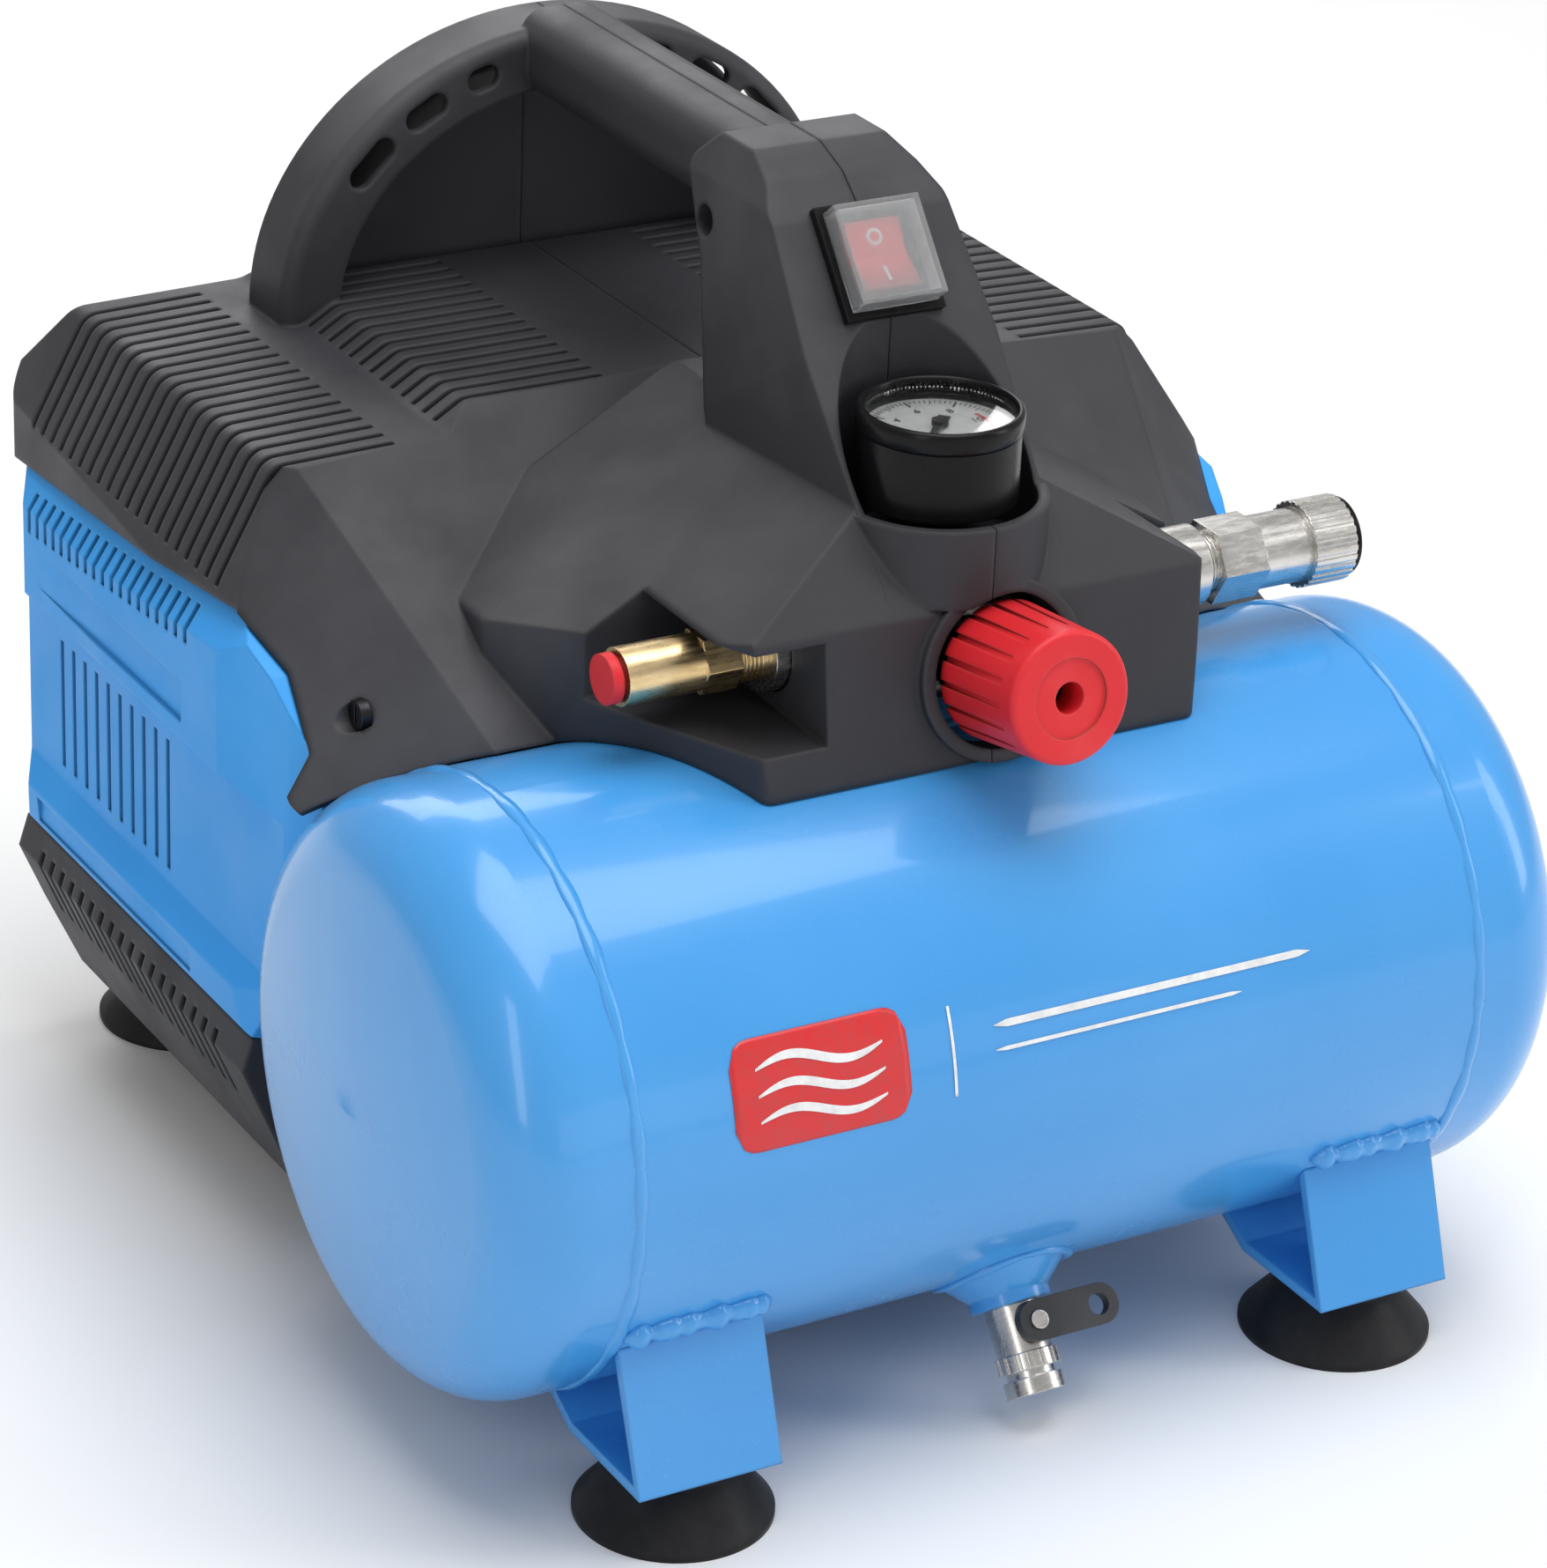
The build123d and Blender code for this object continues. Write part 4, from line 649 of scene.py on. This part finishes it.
# ---- fittings -------------------------------------------------------------------------------
def thread(matrix, radius, pitch, start, end, depth=0.0005, segments=48):
    """Fine screw thread as a helical ridge."""
    rings = []
    turns = (end - start) / pitch
    steps = int(turns * segments)
    for i in range(steps + 1):
        angle = math.tau * i / segments
        z = start + pitch * i / segments
        turn = Vector((math.cos(angle), math.sin(angle), 0.0))
        fade = min(1.0, i / 8.0, (steps - i) / 8.0) * 0.95 + 0.05
        ridge = [(-0.0002, -pitch * 0.45), (depth * fade, -pitch * 0.08), (depth * fade, pitch * 0.08),
                 (-0.0002, pitch * 0.45)]
        rings.append([matrix @ (turn * (radius + dr) + Vector((0, 0, z + dz))) for dr, dz in ridge])
    return loft(rings)


def fitting_threads():
    """Threads that show between the fittings and the body."""
    left = axes((-0.050, *MANIFOLD_AT), (-1, 0, 0), (0, 1, 0))
    right = axes((0.082, *MANIFOLD_AT), (1, 0, 0), (0, 1, 0))
    piece("valve_thread", *thread(left, 0.0070, 0.0012, 0.0012, 0.0074), materials["brass"],
          slot="brass")
    piece("coupler_thread", *thread(right, 0.0080, 0.0012, 0.0008, 0.0036), materials["nickel"],
          slot="nickel")


fitting_threads()


# ---- stage ----------------------------------------------------------------------------------
def floor():
    """Pale floor that curves up far behind the object."""
    rows = []
    depth = [(-6.0, 0.0), (-2.0, 0.0), (0.0, 0.0), (3.0, 0.0), (5.0, 0.0), (5.8, 0.15), (6.4, 0.7),
             (6.7, 1.6), (6.8, 4.0)]
    for y, z in depth:
        rows.append([Vector((x, y, z)) for x in (-7.0, -2.0, 0.0, 2.0, 7.0)])
    verts = [p for row in rows for p in row]
    faces = []
    for i in range(len(rows) - 1):
        for j in range(4):
            a = i * 5 + j
            faces.append((a, a + 1, a + 6, a + 5))
    mesh = bpy.data.meshes.new("floor")
    mesh.from_pydata([tuple(v) for v in verts], [], faces)
    for polygon in mesh.polygons:
        polygon.use_smooth = True
    n = Nodes("floor_paper")
    base = n.ramp(n.noise(1.5, 2.0), [(0.3, (0.88, 0.88, 0.88)), (0.7, (0.90, 0.90, 0.90))])
    rough = n.spread(n.noise(4.0), 0.6, 0.7)
    mesh.materials.append(n.finish(base, rough, n.bump(n.noise(300.0), 0.02, 0.0002)))
    item = bpy.data.objects.new("floor", mesh)
    bpy.context.scene.collection.objects.link(item)


def area_light(name, place, target, width, height, watts, colour=(1.0, 1.0, 1.0)):
    """Rectangular softbox aimed at a target."""
    light = bpy.data.lights.new(name, "AREA")
    light.shape = "RECTANGLE"
    light.size = width
    light.size_y = height
    light.energy = watts
    light.color = colour
    item = bpy.data.objects.new(name, light)
    item.location = place
    item.rotation_euler = (Vector(target) - Vector(place)).to_track_quat("-Z", "Y").to_euler()
    bpy.context.scene.collection.objects.link(item)


def lights():
    """Soft studio light: overhead, key from the front left, fill from the right, pale surround."""
    middle = (0.0, -0.02, 0.12)
    area_light("overhead", (0.1, -0.2, 1.9), middle, 1.5, 1.5, 26.0)
    area_light("left_strip", (-1.5, -1.1, 0.9), middle, 0.30, 1.4, 4.0)
    area_light("right_strip", (1.6, -1.0, 0.9), middle, 0.45, 1.4, 8.0)
    area_light("low_front", (0.2, -2.0, 0.35), middle, 1.8, 0.5, 2.0)
    area_light("back", (0.5, 1.9, 1.3), middle, 1.6, 1.0, 16.0)
    world = bpy.data.worlds.new("studio")
    world.use_nodes = True
    background = world.node_tree.nodes["Background"]
    background.inputs["Color"].default_value = (1.0, 1.0, 1.0, 1.0)
    background.inputs["Strength"].default_value = 0.42
    bpy.context.scene.world = world
    bpy.context.scene.view_settings.view_transform = "Standard"


def camera():
    """Camera at the photograph's angle, with its slight roll."""
    azimuth = math.radians(-31.119)
    elevation = math.radians(25.408)
    roll = math.radians(2.658)
    forward = Vector((-math.sin(azimuth) * math.cos(elevation), math.cos(azimuth) * math.cos(elevation),
                      -math.sin(elevation)))
    right = Vector((math.cos(azimuth), math.sin(azimuth), 0.0))
    up = right.cross(forward)
    turned_right = right * math.cos(roll) + up * math.sin(roll)
    turned_up = up * math.cos(roll) - right * math.sin(roll)
    lens = bpy.data.cameras.new("camera")
    lens.sensor_width = 36.0
    lens.lens = 6120.3 / 1780.0 * 36.0
    lens.shift_x = -0.005
    lens.clip_start = 0.05
    lens.clip_end = 30.0
    item = bpy.data.objects.new("camera", lens)
    rotation = Matrix((turned_right, turned_up, -forward)).transposed().to_4x4()
    target = Vector((-0.043566, -0.088, 0.165306))
    item.matrix_world = Matrix.Translation(target - forward * 1.375168) @ rotation
    bpy.context.scene.collection.objects.link(item)
    bpy.context.scene.camera = item


floor()
lights()
camera()
